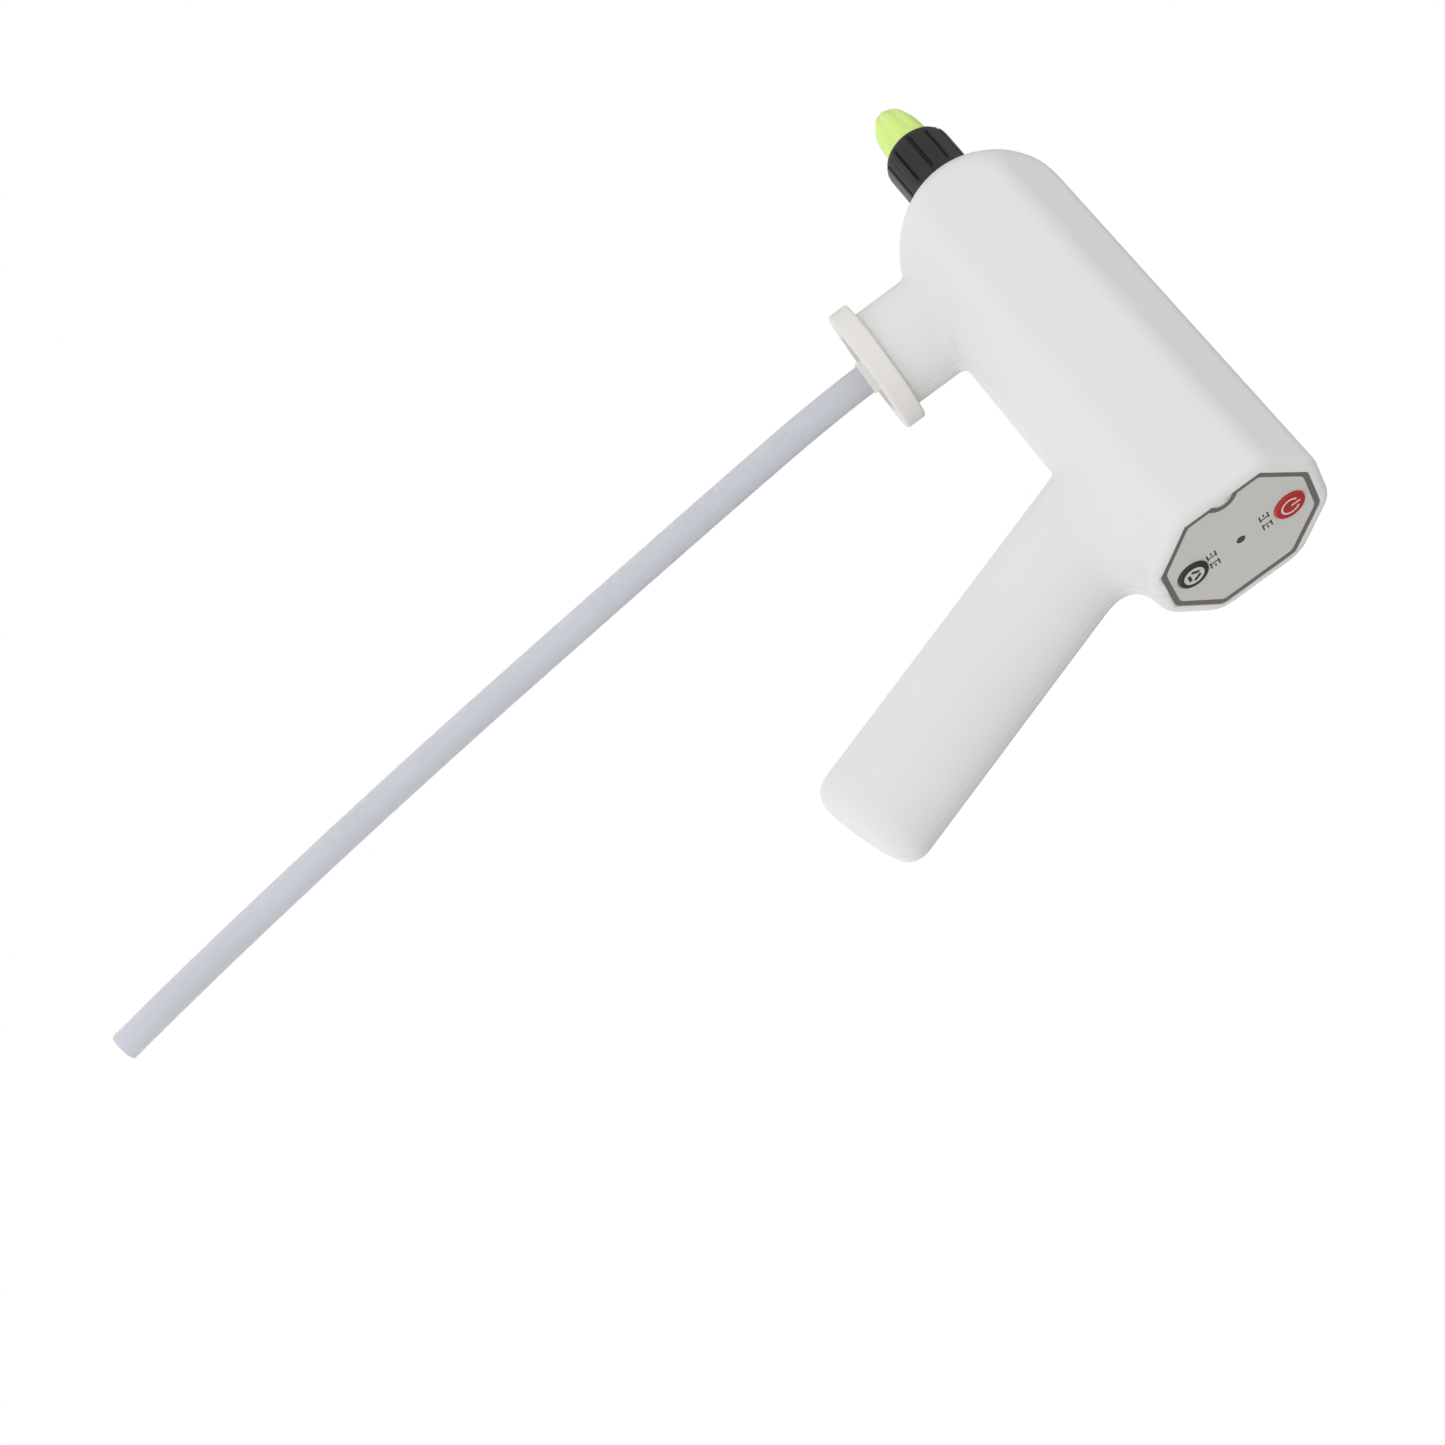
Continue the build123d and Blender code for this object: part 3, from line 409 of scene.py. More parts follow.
def octagon_distance(y, z, s):
    """Distance to the barrel's octagon, the largest of its three facets' distances, ridges rounded."""
    half_w, half_h = s.barrel_width / 2, s.barrel_height / 2
    slope = math.atan2(half_h - s.side_flat / 2, half_w - s.top_flat / 2)
    nx, nz = math.sin(slope), math.cos(slope)
    side = np.abs(y) - half_w
    top = np.abs(z - s.barrel_z) - half_h
    slant = (np.abs(y) - s.top_flat / 2) * nx + (np.abs(z - s.barrel_z) - half_h) * nz
    lower = soft_max(side, slant, corner_band(s.ridge_radius, math.pi / 2 - slope))
    return soft_max(lower, top, corner_band(s.ridge_radius, slope))


def barrel_distance(x, y, z, s):
    """The octagon bar, closed in front by half an ellipsoid and behind by a rounded rim."""
    ahead = np.minimum(x - s.dome_start, 0)
    radii = (s.dome_length, s.dome_radius, s.dome_radius)
    dome = ellipse_distance((ahead, y, z - s.nozzle_z), radii)
    bar = soft_max(octagon_distance(y, z, s), dome, s.dome_blend)
    return soft_max(bar, x - s.barrel_rear, s.rim_radius)


def grip_frame(s):
    """The grip's point on its centre line, its downward direction and its forward direction."""
    origin = np.array([s.grip_x, 0.0, -s.grip_drop])
    tilt = GRIP_TILT
    down = np.array([math.sin(tilt), 0.0, -math.cos(tilt)])
    front = np.array([-math.cos(tilt), 0.0, -math.sin(tilt)])
    return origin, down, front


GRIP_TILT = math.radians(20.0)
FINGERS = 4


def grip_distance(x, y, z, s):
    """An oval bar with a rounded end, less four round hollows along its front."""
    origin, down, front = grip_frame(s)
    dx, dz = x - origin[0], z - origin[2]
    along = dx * down[0] + dz * down[2]
    ahead = dx * front[0] + dz * front[2]
    bar = ellipse_distance((ahead, y), (s.grip_depth / 2, s.grip_width / 2))
    bar = soft_max(bar, along - s.grip_end, s.grip_end_radius)
    belly = (-s.grip_drop - (s.barrel_z - s.barrel_height / 2)) / math.cos(GRIP_TILT)
    chord = s.finger_pitch / 2
    radius = (chord ** 2 + s.finger_depth ** 2) / (2 * s.finger_depth)
    for i in range(FINGERS):
        middle = belly + s.finger_first + s.finger_pitch * (i + 0.5)
        centre = s.grip_depth / 2 + radius - s.finger_depth
        hollow = np.hypot(along - middle, ahead - centre) - radius
        bar = soft_max(bar, -hollow, 1.2 * MM)
    return bar


def casing_distance(points, s, blended=True):
    """The casing's outer form: barrel, neck, grip and nose boss, joined with fillets, or with sharp
    corners when not blended."""
    x, y, z = points[..., 0], points[..., 1], points[..., 2]
    barrel = barrel_distance(x, y, z, s)
    neck = soft_max(np.hypot(x, y) - s.neck_diameter / 2, s.neck_foot - z, 0.5 * MM)
    neck = np.maximum(neck, z - s.barrel_z)
    boss = np.hypot(y, z - s.nozzle_z) - s.nose_boss / 2
    boss = np.maximum(np.maximum(boss, -s.nose_boss_front - x), x)
    grip = np.maximum(grip_distance(x, y, z, s), z - s.barrel_z)
    if not blended:
        return np.minimum(np.minimum(barrel, neck), np.minimum(grip, boss))
    origin, _, front = grip_frame(s)
    ahead = (x - origin[0]) * front[0] + (z - origin[2]) * front[2]
    share = np.clip(0.5 - ahead / s.grip_depth * 1.6, 0, 1)
    share = share * share * (3 - 2 * share)
    band = s.grip_front_blend + (s.grip_back_blend - s.grip_front_blend) * share
    form = soft_min(barrel, grip, band)
    form = soft_min(form, neck, s.neck_blend)
    form = soft_min(form, boss, 1.5 * MM)
    sunk = np.hypot(x - s.sink_x, z + s.sink_drop) / (2.0 * MM)
    return form + s.sink_depth * np.exp(-sunk ** 4) * (y < -8 * MM)


def slope_of(field, points, reach=0.05 * MM):
    """The field's slope by central differences along the three axes."""
    made = []
    for k in range(3):
        shift = np.zeros(3)
        shift[k] = reach
        made.append((field(points + shift) - field(points - shift)) / (2 * reach))
    return np.stack(made, -1)


def net_surface(name, field, low, high, step, passes=3):
    """The closed face where a field is zero. Each grid cell that the face crosses holds one point, the
    mean of the crossings on its edges, moved along the slope onto the face; each crossed grid edge
    gives one quad through its four cells."""
    axes = [np.arange(a - 1.7 * step, b + 2.7 * step, step) for a, b in zip(low, high)]
    counts = [len(a) for a in axes]
    value = np.empty(counts)
    for i, x in enumerate(axes[0]):
        grid = np.stack(np.meshgrid([x], axes[1], axes[2], indexing="ij"), -1)
        value[i] = field(grid)[0]
    inside = value < 0
    total = np.zeros(int(np.prod(counts)))
    sums = np.zeros((len(total), 3))
    quads = []
    for k in range(3):
        here = [slice(None)] * 3
        there = [slice(None)] * 3
        here[k] = slice(0, -1)
        there[k] = slice(1, None)
        here, there = tuple(here), tuple(there)
        crossed = np.argwhere(inside[here] != inside[there])
        va = value[here][tuple(crossed.T)]
        vb = value[there][tuple(crossed.T)]
        point = np.stack([axes[m][crossed[:, m]] for m in range(3)], -1)
        point[:, k] += step * va / (va - vb)
        m, n = (k + 1) % 3, (k + 2) % 3
        cells = []
        for dm, dn in ((-1, -1), (0, -1), (0, 0), (-1, 0)):
            cell = crossed.copy()
            cell[:, m] += dm
            cell[:, n] += dn
            index = np.ravel_multi_index(cell.T, counts)
            cells.append(index)
            np.add.at(total, index, 1)
            np.add.at(sums, index, point)
        cells = np.stack(cells, -1)
        turn = va > 0
        cells[turn] = cells[turn][:, ::-1]
        quads.append(cells)
    used = np.flatnonzero(total)
    number = np.full(len(total), -1)
    number[used] = np.arange(len(used))
    points = sums[used] / total[used][:, None]
    for _ in range(passes):
        slope = slope_of(field, points)
        size = np.maximum((slope ** 2).sum(-1), 1e-6)
        move = -(field(points) / size)[:, None] * slope
        points = points + np.clip(move, -step, step)
    return outward(mesh_from(name, points, number[np.concatenate(quads)]))


# ---- finishes ------------------------------------------------------------------------------------
FINISHES = {}


def nodes_of(name):
    """A new material of this name; one that came with the frame gives the name up."""
    if name in bpy.data.materials:
        bpy.data.materials[name].name = "frame_" + name
    material = bpy.data.materials.new(name)
    material.use_nodes = True
    tree = material.node_tree
    shader = tree.nodes["Principled BSDF"]
    return material, tree, shader


def texture(tree, kind, scale, detail=3.0, stretch=(1, 1, 1), turn=(0, 0, 0), **inputs):
    """A noise or other pattern on Object coordinates, its scale in repeats per metre."""
    place = tree.nodes.new("ShaderNodeTexCoord")
    mapping = tree.nodes.new("ShaderNodeMapping")
    mapping.inputs["Scale"].default_value = stretch
    mapping.inputs["Rotation"].default_value = turn
    pattern = tree.nodes.new(kind)
    tree.links.new(place.outputs["Object"], mapping.inputs["Vector"])
    tree.links.new(mapping.outputs["Vector"], pattern.inputs["Vector"])
    pattern.inputs["Scale"].default_value = scale
    if "Detail" in pattern.inputs:
        pattern.inputs["Detail"].default_value = detail
    for key, value in inputs.items():
        pattern.inputs[key].default_value = value
    return pattern


def graded(tree, source, low, high):
    """The source's 0.3 to 0.7 spread over low to high."""
    spread = tree.nodes.new("ShaderNodeMapRange")
    spread.inputs["From Min"].default_value = 0.3
    spread.inputs["From Max"].default_value = 0.7
    spread.inputs["To Min"].default_value = low
    spread.inputs["To Max"].default_value = high
    tree.links.new(source, spread.inputs["Value"])
    return spread.outputs["Result"]


def tinted(tree, source, first, second):
    """A colour between two, by the source."""
    mix = tree.nodes.new("ShaderNodeMix")
    mix.data_type = "RGBA"
    mix.inputs["A"].default_value = (*first, 1)
    mix.inputs["B"].default_value = (*second, 1)
    tree.links.new(source, mix.inputs["Factor"])
    return mix.outputs["Result"]


def bumped(tree, shader, source, strength, depth):
    bump = tree.nodes.new("ShaderNodeBump")
    bump.inputs["Strength"].default_value = strength
    bump.inputs["Distance"].default_value = depth
    tree.links.new(source, bump.inputs["Height"])
    tree.links.new(bump.outputs["Normal"], shader.inputs["Normal"])


def shade(colour, factor):
    return tuple(min(1.0, c * factor) for c in colour)


def moulded(name, colour, rough=0.42, grain=900.0, depth=0.02, variation=0.02, coat=0.0, specular=0.5):
    """Moulded plastic or rubber: faint cloudy colour, uneven gloss and a fine spark-eroded grain."""
    material, tree, shader = nodes_of(name)
    cloud = texture(tree, "ShaderNodeTexNoise", 28.0, 4.0)
    fine = texture(tree, "ShaderNodeTexNoise", grain * 2, 2.0)
    swirl = texture(tree, "ShaderNodeTexNoise", 110.0, 5.0)
    tone = graded(tree, cloud.outputs["Fac"], 0.0, 1.0)
    tree.links.new(tinted(tree, tone, shade(colour, 1 - variation), shade(colour, 1 + variation)),
                   shader.inputs["Base Color"])
    tree.links.new(graded(tree, swirl.outputs["Fac"], rough - 0.04, rough + 0.05), shader.inputs["Roughness"])
    bumped(tree, shader, fine.outputs["Fac"], 0.25, depth * MM)
    shader.inputs["Specular IOR Level"].default_value = specular
    shader.inputs["Coat Weight"].default_value = coat
    shader.inputs["Coat Roughness"].default_value = 0.12
    return material


def metal(name, colour, rough=0.3, stretch=(1, 1, 1), scratches=0.03):
    """Metal with drawn lines: noise stretched along one direction varies its gloss and relief."""
    material, tree, shader = nodes_of(name)
    lines = texture(tree, "ShaderNodeTexNoise", 900.0, 5.0, stretch)
    cloud = texture(tree, "ShaderNodeTexNoise", 60.0, 4.0)
    tone = graded(tree, cloud.outputs["Fac"], 0.0, 1.0)
    tree.links.new(tinted(tree, tone, shade(colour, 0.9), shade(colour, 1.08)), shader.inputs["Base Color"])
    tree.links.new(graded(tree, lines.outputs["Fac"], rough - 0.08, rough + 0.12), shader.inputs["Roughness"])
    bumped(tree, shader, lines.outputs["Fac"], 0.3, scratches * MM)
    shader.inputs["Metallic"].default_value = 1.0
    return material


def tube_plastic(name, colour):
    """Translucent tube: part of the light goes through, scattered, with faint drawing lines along it."""
    material, tree, shader = nodes_of(name)
    cloud = texture(tree, "ShaderNodeTexNoise", 40.0, 4.0)
    lines = texture(tree, "ShaderNodeTexNoise", 700.0, 2.0, (1.0, 1.0, 0.02))
    tone = graded(tree, cloud.outputs["Fac"], 0.0, 1.0)
    tree.links.new(tinted(tree, tone, shade(colour, 0.98), shade(colour, 1.02)), shader.inputs["Base Color"])
    tree.links.new(graded(tree, cloud.outputs["Fac"], 0.26, 0.34), shader.inputs["Roughness"])
    bumped(tree, shader, lines.outputs["Fac"], 0.03, 0.001 * MM)
    shader.inputs["Transmission Weight"].default_value = 0.45
    shader.inputs["IOR"].default_value = 1.45
    return material


def circuit_board(name):
    """Green solder mask over copper runs: a brick pattern's joints stand for the runs."""
    material, tree, shader = nodes_of(name)
    runs = texture(tree, "ShaderNodeTexBrick", 160.0, turn=(0, math.pi / 2, 0))
    runs.inputs["Mortar Size"].default_value = 0.012
    cloud = texture(tree, "ShaderNodeTexNoise", 200.0, 3.0)
    tree.links.new(tinted(tree, runs.outputs["Fac"], (0.008, 0.085, 0.03), (0.02, 0.17, 0.055)),
                   shader.inputs["Base Color"])
    tree.links.new(graded(tree, cloud.outputs["Fac"], 0.28, 0.42), shader.inputs["Roughness"])
    bumped(tree, shader, runs.outputs["Fac"], 0.4, 0.03 * MM)
    return material


def cell_wrap(name):
    """Shrink wrap with its seam creases: low wide noise along the cell gives the wrinkles, and the same noise
    makes the blue darker down in the creases, which is painted crease shade.
    """
    material, tree, shader = nodes_of(name)
    crease = texture(tree, "ShaderNodeTexNoise", 240.0, 3.0, (1.0, 1.0, 0.25), (0, GRIP_TILT, 0))
    tone = graded(tree, crease.outputs["Fac"], 0.0, 1.0)
    # painted shade: the blue is darker where the crease noise is low, down in the creases
    tree.links.new(tinted(tree, tone, (0.03, 0.11, 0.33), (0.045, 0.15, 0.42)), shader.inputs["Base Color"])
    tree.links.new(graded(tree, crease.outputs["Fac"], 0.22, 0.36), shader.inputs["Roughness"])
    bumped(tree, shader, crease.outputs["Fac"], 0.3, 0.08 * MM)
    return material


def make_finishes(c):
    """One material for each of the record's material slots, and the inks. The rows hold what moulded
    and metal take: colour, roughness, then grain, depth and variation, or the stretch of the lines."""
    plastics = {
        "shell_white": (c.casing, 0.40, 1100, 0.012, 0.008, 0, 0.45),
        "adapter_white": (c.adapter, 0.48, 900, 0.02, 0.012),
        "tip_green": (c.tip, 0.36, 900, 0.02, 0.03),
        "collar_black": (c.collar, 0.30, 1200, 0.03, 0.10, 0, 0.3),
        "label_grey": (c.label, 0.46, 2400, 0.01, 0.01),
        "border_ink": (c.border, 0.42, 2000, 0.006, 0.04),
        "button_red": (c.red, 0.30, 1800, 0.008, 0.04, 0.3),
        "button_black": ((0.012, 0.012, 0.013), 0.32, 1800, 0.008, 0.05, 0.3),
        "mark_white": ((0.74, 0.70, 0.69), 0.40, 1800, 0.004, 0.02),
        "lens_smoke": ((0.060, 0.055, 0.052), 0.22, 400, 0.004, 0.05, 0.3),
        "seal_rubber": ((0.018, 0.018, 0.018), 0.62, 700, 0.04, 0.10),
        "hose_silicone": ((0.72, 0.74, 0.75), 0.38, 500, 0.02, 0.02),
        "pump_black": ((0.022, 0.022, 0.024), 0.50, 800, 0.04, 0.08),
        "gear_nylon": ((0.74, 0.70, 0.60), 0.40, 700, 0.02, 0.03),
        "switch_plastic": ((0.03, 0.03, 0.032), 0.46, 900, 0.02, 0.06),
        "foam_grey": ((0.10, 0.10, 0.105), 0.85, 1400, 0.25, 0.15),
        "lead_red": ((0.48, 0.02, 0.02), 0.38, 600, 0.01, 0.05),
        "magnet_dark": ((0.045, 0.045, 0.048), 0.55, 1600, 0.05, 0.12),
    }
    metals = {
        "screw_steel": ((0.56, 0.57, 0.60), 0.30),
        "shaft_steel": ((0.62, 0.62, 0.63), 0.22, (0.05, 1, 1)),
        "motor_steel": ((0.60, 0.60, 0.61), 0.32, (1, 0.08, 0.08)),
        "contact_brass": ((0.80, 0.58, 0.24), 0.28),
        "contact_nickel": ((0.66, 0.64, 0.60), 0.26),
    }
    made = {name: moulded(name, *row) for name, row in plastics.items()}
    made.update((name, metal(name, *row)) for name, row in metals.items())
    made["tube_clear"] = tube_plastic("tube_clear", c.tube)
    made["board_green"] = circuit_board("board_green")
    made["cell_wrap"] = cell_wrap("cell_wrap")
    return made


def finish_of(slot):
    """The finished material of that name, made on first use."""
    if not FINISHES:
        FINISHES.update(make_finishes(sizes("colours")))
    return FINISHES[slot]


def settle(piece, body, slot, *replaced, ink=None):
    """Gives a piece its material and its body, and hides the CAD nodes that it stands for."""
    piece.data.materials.clear()
    piece.data.materials.append(finish_of(ink or slot))
    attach(piece, body)
    if replaced:
        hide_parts(*replaced)
    return piece


# ---- the stage -----------------------------------------------------------------------------------
CAMERA_PLACE = (0.5388, -0.6694, -0.0360)
CAMERA_RIGHT = (0.4511, 0.3858, 0.8048)
CAMERA_DOWN = (0.6868, 0.4257, -0.5891)
CAMERA_LENS = 69.76
FLOOR_DROP = 0.12
LIGHT_FROM = (0.07, -0.90, 0.04)


class SPRAYGUN_OT_stage(Operator):
    """Camera, studio light and a plain pale floor"""
    bl_idname = "spray_gun.stage"
    bl_label = "Stage"

    def execute(self, context):
        self.add_camera(context.scene)
        self.add_floor()
        self.add_light(context.scene)
        context.scene.view_settings.view_transform = "Standard"
        return {"FINISHED"}

    def add_camera(self, scene):
        right = np.array(CAMERA_RIGHT)
        right /= np.linalg.norm(right)
        up = -np.array(CAMERA_DOWN)
        up -= right * (up @ right)
        up /= np.linalg.norm(up)
        back = np.cross(right, up)
        data = bpy.data.cameras.new("camera")
        data.lens = CAMERA_LENS
        data.sensor_width = 36.0
        data.clip_start = 0.01
        camera = bpy.data.objects.new("camera", data)
        turn = Matrix(np.column_stack([right, up, back]).tolist()).to_4x4()
        camera.matrix_world = Matrix.Translation(CAMERA_PLACE) @ turn
        scene.collection.objects.link(camera)
        scene.camera = camera

    def add_floor(self):
        """A flat square far below the tube's end, evenly pale."""
        level = CAD_BOX[0][2] - FLOOR_DROP
        points = [(x, y, level) for x, y in ((-9, -9), (9, -9), (9, 9), (-9, 9))]
        floor = add_object("floor", mesh_from("floor", points, np.array([[0, 1, 2, 3]])))
        material, _, shader = nodes_of("floor")
        shader.inputs["Base Color"].default_value = (0, 0, 0, 1)
        shader.inputs["Roughness"].default_value = 1.0
        shader.inputs["Specular IOR Level"].default_value = 0.0
        shader.inputs["Emission Color"].default_value = (1, 1, 1, 1)
        shader.inputs["Emission Strength"].default_value = 1.0
        floor.data.materials.append(material)

    def add_light(self, scene):
        """An even white sky, dimmer away from the side that the main light comes from."""
        world = bpy.data.worlds.new("studio")
        scene.world = world
        world.use_nodes = True
        tree = world.node_tree
        tree.nodes.clear()
        out = tree.nodes.new("ShaderNodeOutputWorld")
        seen = tree.nodes.new("ShaderNodeBackground")
        seen.inputs["Strength"].default_value = 1.0
        seen.inputs["Color"].default_value = (1, 1, 1, 1)
        glow = tree.nodes.new("ShaderNodeBackground")
        place = tree.nodes.new("ShaderNodeTexCoord")
        dot = tree.nodes.new("ShaderNodeVectorMath")
        dot.operation = "DOT_PRODUCT"
        towards = np.array(LIGHT_FROM) / np.linalg.norm(LIGHT_FROM)
        dot.inputs[1].default_value = towards
        ramp = tree.nodes.new("ShaderNodeMapRange")
        ramp.interpolation_type = "SMOOTHSTEP"
        ramp.inputs["From Min"].default_value = -1.0
        ramp.inputs["From Max"].default_value = 0.9
        ramp.inputs["To Min"].default_value = 0.22
        ramp.inputs["To Max"].default_value = 0.92
        warm = tinted(tree, ramp.outputs["Result"], (1.0, 0.94, 0.86), (1.0, 1.0, 1.0))
        tree.links.new(warm, glow.inputs["Color"])
        tree.links.new(place.outputs["Generated"], dot.inputs[0])
        tree.links.new(dot.outputs["Value"], ramp.inputs["Value"])
        tree.links.new(ramp.outputs["Result"], glow.inputs["Strength"])
        path = tree.nodes.new("ShaderNodeLightPath")
        mix = tree.nodes.new("ShaderNodeMixShader")
        tree.links.new(path.outputs["Is Camera Ray"], mix.inputs[0])
        tree.links.new(glow.outputs["Background"], mix.inputs[1])
        tree.links.new(seen.outputs["Background"], mix.inputs[2])
        tree.links.new(mix.outputs["Shader"], out.inputs["Surface"])


# ---- dip tube ------------------------------------------------------------------------------------
TUBE_ROUTE = [
    (0.0012, 0.0, 0.0100),
    (0.0012, 0.0, -0.0130),
    (0.0056, 0.0, -0.0580),
    (0.0114, 0.0, -0.1110),
    (0.0179, 0.0, -0.1680),
    (0.0255, 0.0, -0.2240),
    (0.0342, 0.0, -0.2790),
    (0.0389, 0.0, -0.3032),
]


def route_line():
    """The route's smooth line: a spline of order 3 through the route's control points."""
    curve = bpy.data.curves.new("route", "CURVE")
    curve.dimensions = "3D"
    spline = curve.splines.new("NURBS")
    spline.points.add(len(TUBE_ROUTE) - 1)
    for point, place in zip(spline.points, TUBE_ROUTE):
        point.co = (*place, 1)
    spline.order_u = 3
    spline.use_endpoint_u = True
    spline.resolution_u = 24
    holder = bpy.data.objects.new("route", curve)
    bpy.context.scene.collection.objects.link(holder)
    bpy.context.view_layer.update()
    line = bpy.data.meshes.new_from_object(holder.evaluated_get(bpy.context.evaluated_depsgraph_get()))
    co = np.zeros(len(line.vertices) * 3)
    line.vertices.foreach_get("co", co)
    bpy.data.objects.remove(holder)
    return co.reshape(-1, 3)


class SPRAYGUN_OT_tube(Operator):
    """The translucent dip tube, a hollow tube carried along its route"""
    bl_idname = "spray_gun.tube"
    bl_label = "Dip tube"

    def execute(self, context):
        s = sizes("tube")
        line = route_line()
        along = np.gradient(line, axis=0)
        along /= np.linalg.norm(along, axis=1)[:, None]
        side = np.array([0.0, 1.0, 0.0])
        up = np.cross(along, side)
        t = np.arange(s.around) * 2 * math.pi / s.around
        across = np.cos(t)[None, :, None] * side + np.sin(t)[None, :, None] * up[:, None, :]
        edge = 0.35 * MM
        outer = line[:, None] + across * s.outer / 2
        inner = line[:, None] + across * s.bore / 2
        outer[0] = line[0] + across[0] * (s.outer / 2 - edge)
        outer[-1] = line[-1] + across[-1] * (s.outer / 2 - edge)
        outer[1] = line[0] + along[0] * edge + across[0] * s.outer / 2
        outer[-2] = line[-1] - along[-1] * edge + across[-1] * s.outer / 2
        rings = np.concatenate([outer, inner[::-1]])
        mesh = outward(mesh_from("dip_tube_skin", rings, ring_quads(len(rings), s.around, closed_rows=True)))
        piece = add_object("dip_tube_skin", mesh)
        sharp_by_angle(piece, 50)
        settle(piece, "gun", "tube_clear", "dip_tube")
        return {"FINISHED"}


# ---- casing --------------------------------------------------------------------------------------
SKIN = 1.0 * MM              # depth of the blended skin over the frame's own walls
CORE_INSET = 0.4 * MM
SEAM = 0.06 * MM
FAR = 0.3                    # past every face of the gun
SCREW_HOLE = 2.9 * MM
SCREW_FACE = 5.0 * MM


def merged_copy(node):
    """A copy of a CAD node's mesh with its loose triangles merged."""
    work = bmesh.new()
    work.from_mesh(frame["nodes"][node].data)
    bmesh.ops.remove_doubles(work, verts=work.verts, dist=1e-7)
    mesh = bpy.data.meshes.new(node + "_copy")
    work.to_mesh(mesh)
    work.free()
    return mesh


def octagon_outline(inset):
    """Corners of the barrel's octagon drawn in by an inset, as (y, z) pairs, counter-clockwise."""
    s = sizes("casing")
    half_w, half_h = s.barrel_width / 2, s.barrel_height / 2
    slope = math.atan2(half_h - s.side_flat / 2, half_w - s.top_flat / 2)
    ty = s.top_flat / 2 - inset * math.tan(slope / 2)
    sz = s.side_flat / 2 - inset * math.tan((math.pi / 2 - slope) / 2)
    w, h = half_w - inset, half_h - inset
    corners = [(w, -sz), (w, sz), (ty, h), (-ty, h), (-w, sz), (-w, -sz), (-ty, -h), (ty, -h)]
    return np.array(corners) + (0, s.barrel_z)


class SPRAYGUN_OT_casing(Operator):
    """The two shell halves, with soft fillets between barrel, neck and grip"""
    bl_idname = "spray_gun.casing"
    bl_label = "Casing"

    def execute(self, context):
        s = sizes("casing")
        low = np.minimum(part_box("left_shell")[0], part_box("right_shell")[0])
        high = np.maximum(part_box("left_shell")[1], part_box("right_shell")[1])
        step = s.mesh_step
        for node, side in (("left_shell", -1), ("right_shell", 1)):
            face = net_surface("face", lambda p: casing_distance(p, s), low, high, step)
            trim = net_surface("trim", lambda p: casing_distance(p, s) + CORE_INSET, low, high, 2 * step)
            hollow = net_surface("hollow", lambda p: casing_distance(p, s, False) + SKIN,
                                 low, high, 1.5 * step)
            skin = combine(face, hollow, "DIFFERENCE")
            near, past = (SEAM, FAR) if side > 0 else (-FAR, -SEAM)
            skin = combine(skin, slab("half", (-FAR, near, -FAR), (FAR, past, FAR)), "INTERSECT")
            for tool in self.openings(s, side):
                skin = combine(skin, tool, "DIFFERENCE")
            core = combine(merged_copy(node), trim, "INTERSECT")
            shell = combine(core, skin, "UNION")
            shell.name = node + "_blended"
            piece = add_object(node + "_blended", shell)
            sharp_by_angle(piece, 40)
            settle(piece, "gun", "shell_white", node)
        return {"FINISHED"}

    def openings(self, s, side):
        """The socket's bore, the nozzle's bore, the panel's opening, and on the far side the screw
        holes and the charging port."""
        p = sizes("panel")
        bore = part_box("bottle_adapter")[1][2]
        tools = [
            cylinder("bore", s.neck_diameter / 2 - 1.4 * MM, (0, 0, 0), (0, 0, bore + 3 * MM), 96),
            cylinder("nozzle", 7.6 * MM, (-0.06, 0, s.nozzle_z), (-0.02, 0, s.nozzle_z)),
            prism_x("opening", octagon_outline(p.inset - 0.1 * MM), 0.115, 0.14),
        ]
        if side > 0:
            for x, z in self.screw_places():
                tools.append(cylinder("hole", SCREW_HOLE, (x, SCREW_FACE, z), (x, 0.04, z), 48))
            low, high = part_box("charge_socket")
            gap = 0.3 * MM
            first, last = (low[0] - gap, low[1], low[2] - gap), (high[0] + gap, 0.04, high[2] + gap)
            tools.append(slab("port", first, last))
        return tools

    def screw_places(self):
        """Centres of the shell screws: the middle of each separate screw in the CAD node."""
        mesh = merged_copy("shell_screws")
        work = bmesh.new()
        work.from_mesh(mesh)
        left = set(work.verts)
        places = []
        while left:
            stack = [left.pop()]
            group = list(stack)
            while stack:
                v = stack.pop()
                for e in v.link_edges:
                    w = e.other_vert(v)
                    if w in left:
                        left.remove(w)
                        stack.append(w)
                        group.append(w)
            co = np.array([v.co for v in group])
            middle = (co.min(0) + co.max(0)) / 2
            places.append((middle[0], middle[2]))
        work.free()
        return places


# ---- bottle adapter ------------------------------------------------------------------------------
class SPRAYGUN_OT_adapter(Operator):
    """The flanged screw socket, its flange's edges rounded"""
    bl_idname = "spray_gun.adapter"
    bl_label = "Bottle adapter"

    def execute(self, context):
        s = sizes("adapter")
        gap = 0.02 * MM
        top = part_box("bottle_adapter")[1][2] + 2 * MM
        rim, foot, roof = s.flange / 2 - gap, gap, s.thickness - gap
        corners = [(-5 * MM, 0), (-5 * MM, s.clear), (foot, s.clear), (foot, rim), (roof, rim),
                   (roof, s.clear), (top, s.clear), (top, 0)]
        radii = [0, 0, 0, s.rounding, s.rounding, 0, 0, 0]
        limit = turned("limit", round_corners(corners, radii, 8), "Z", around=160)
        mesh = combine(merged_copy("bottle_adapter"), limit, "INTERSECT")
        piece = add_object("adapter_rounded", mesh)
        sharp_by_angle(piece, 35)
        settle(piece, "gun", "adapter_white", "bottle_adapter")
        return {"FINISHED"}


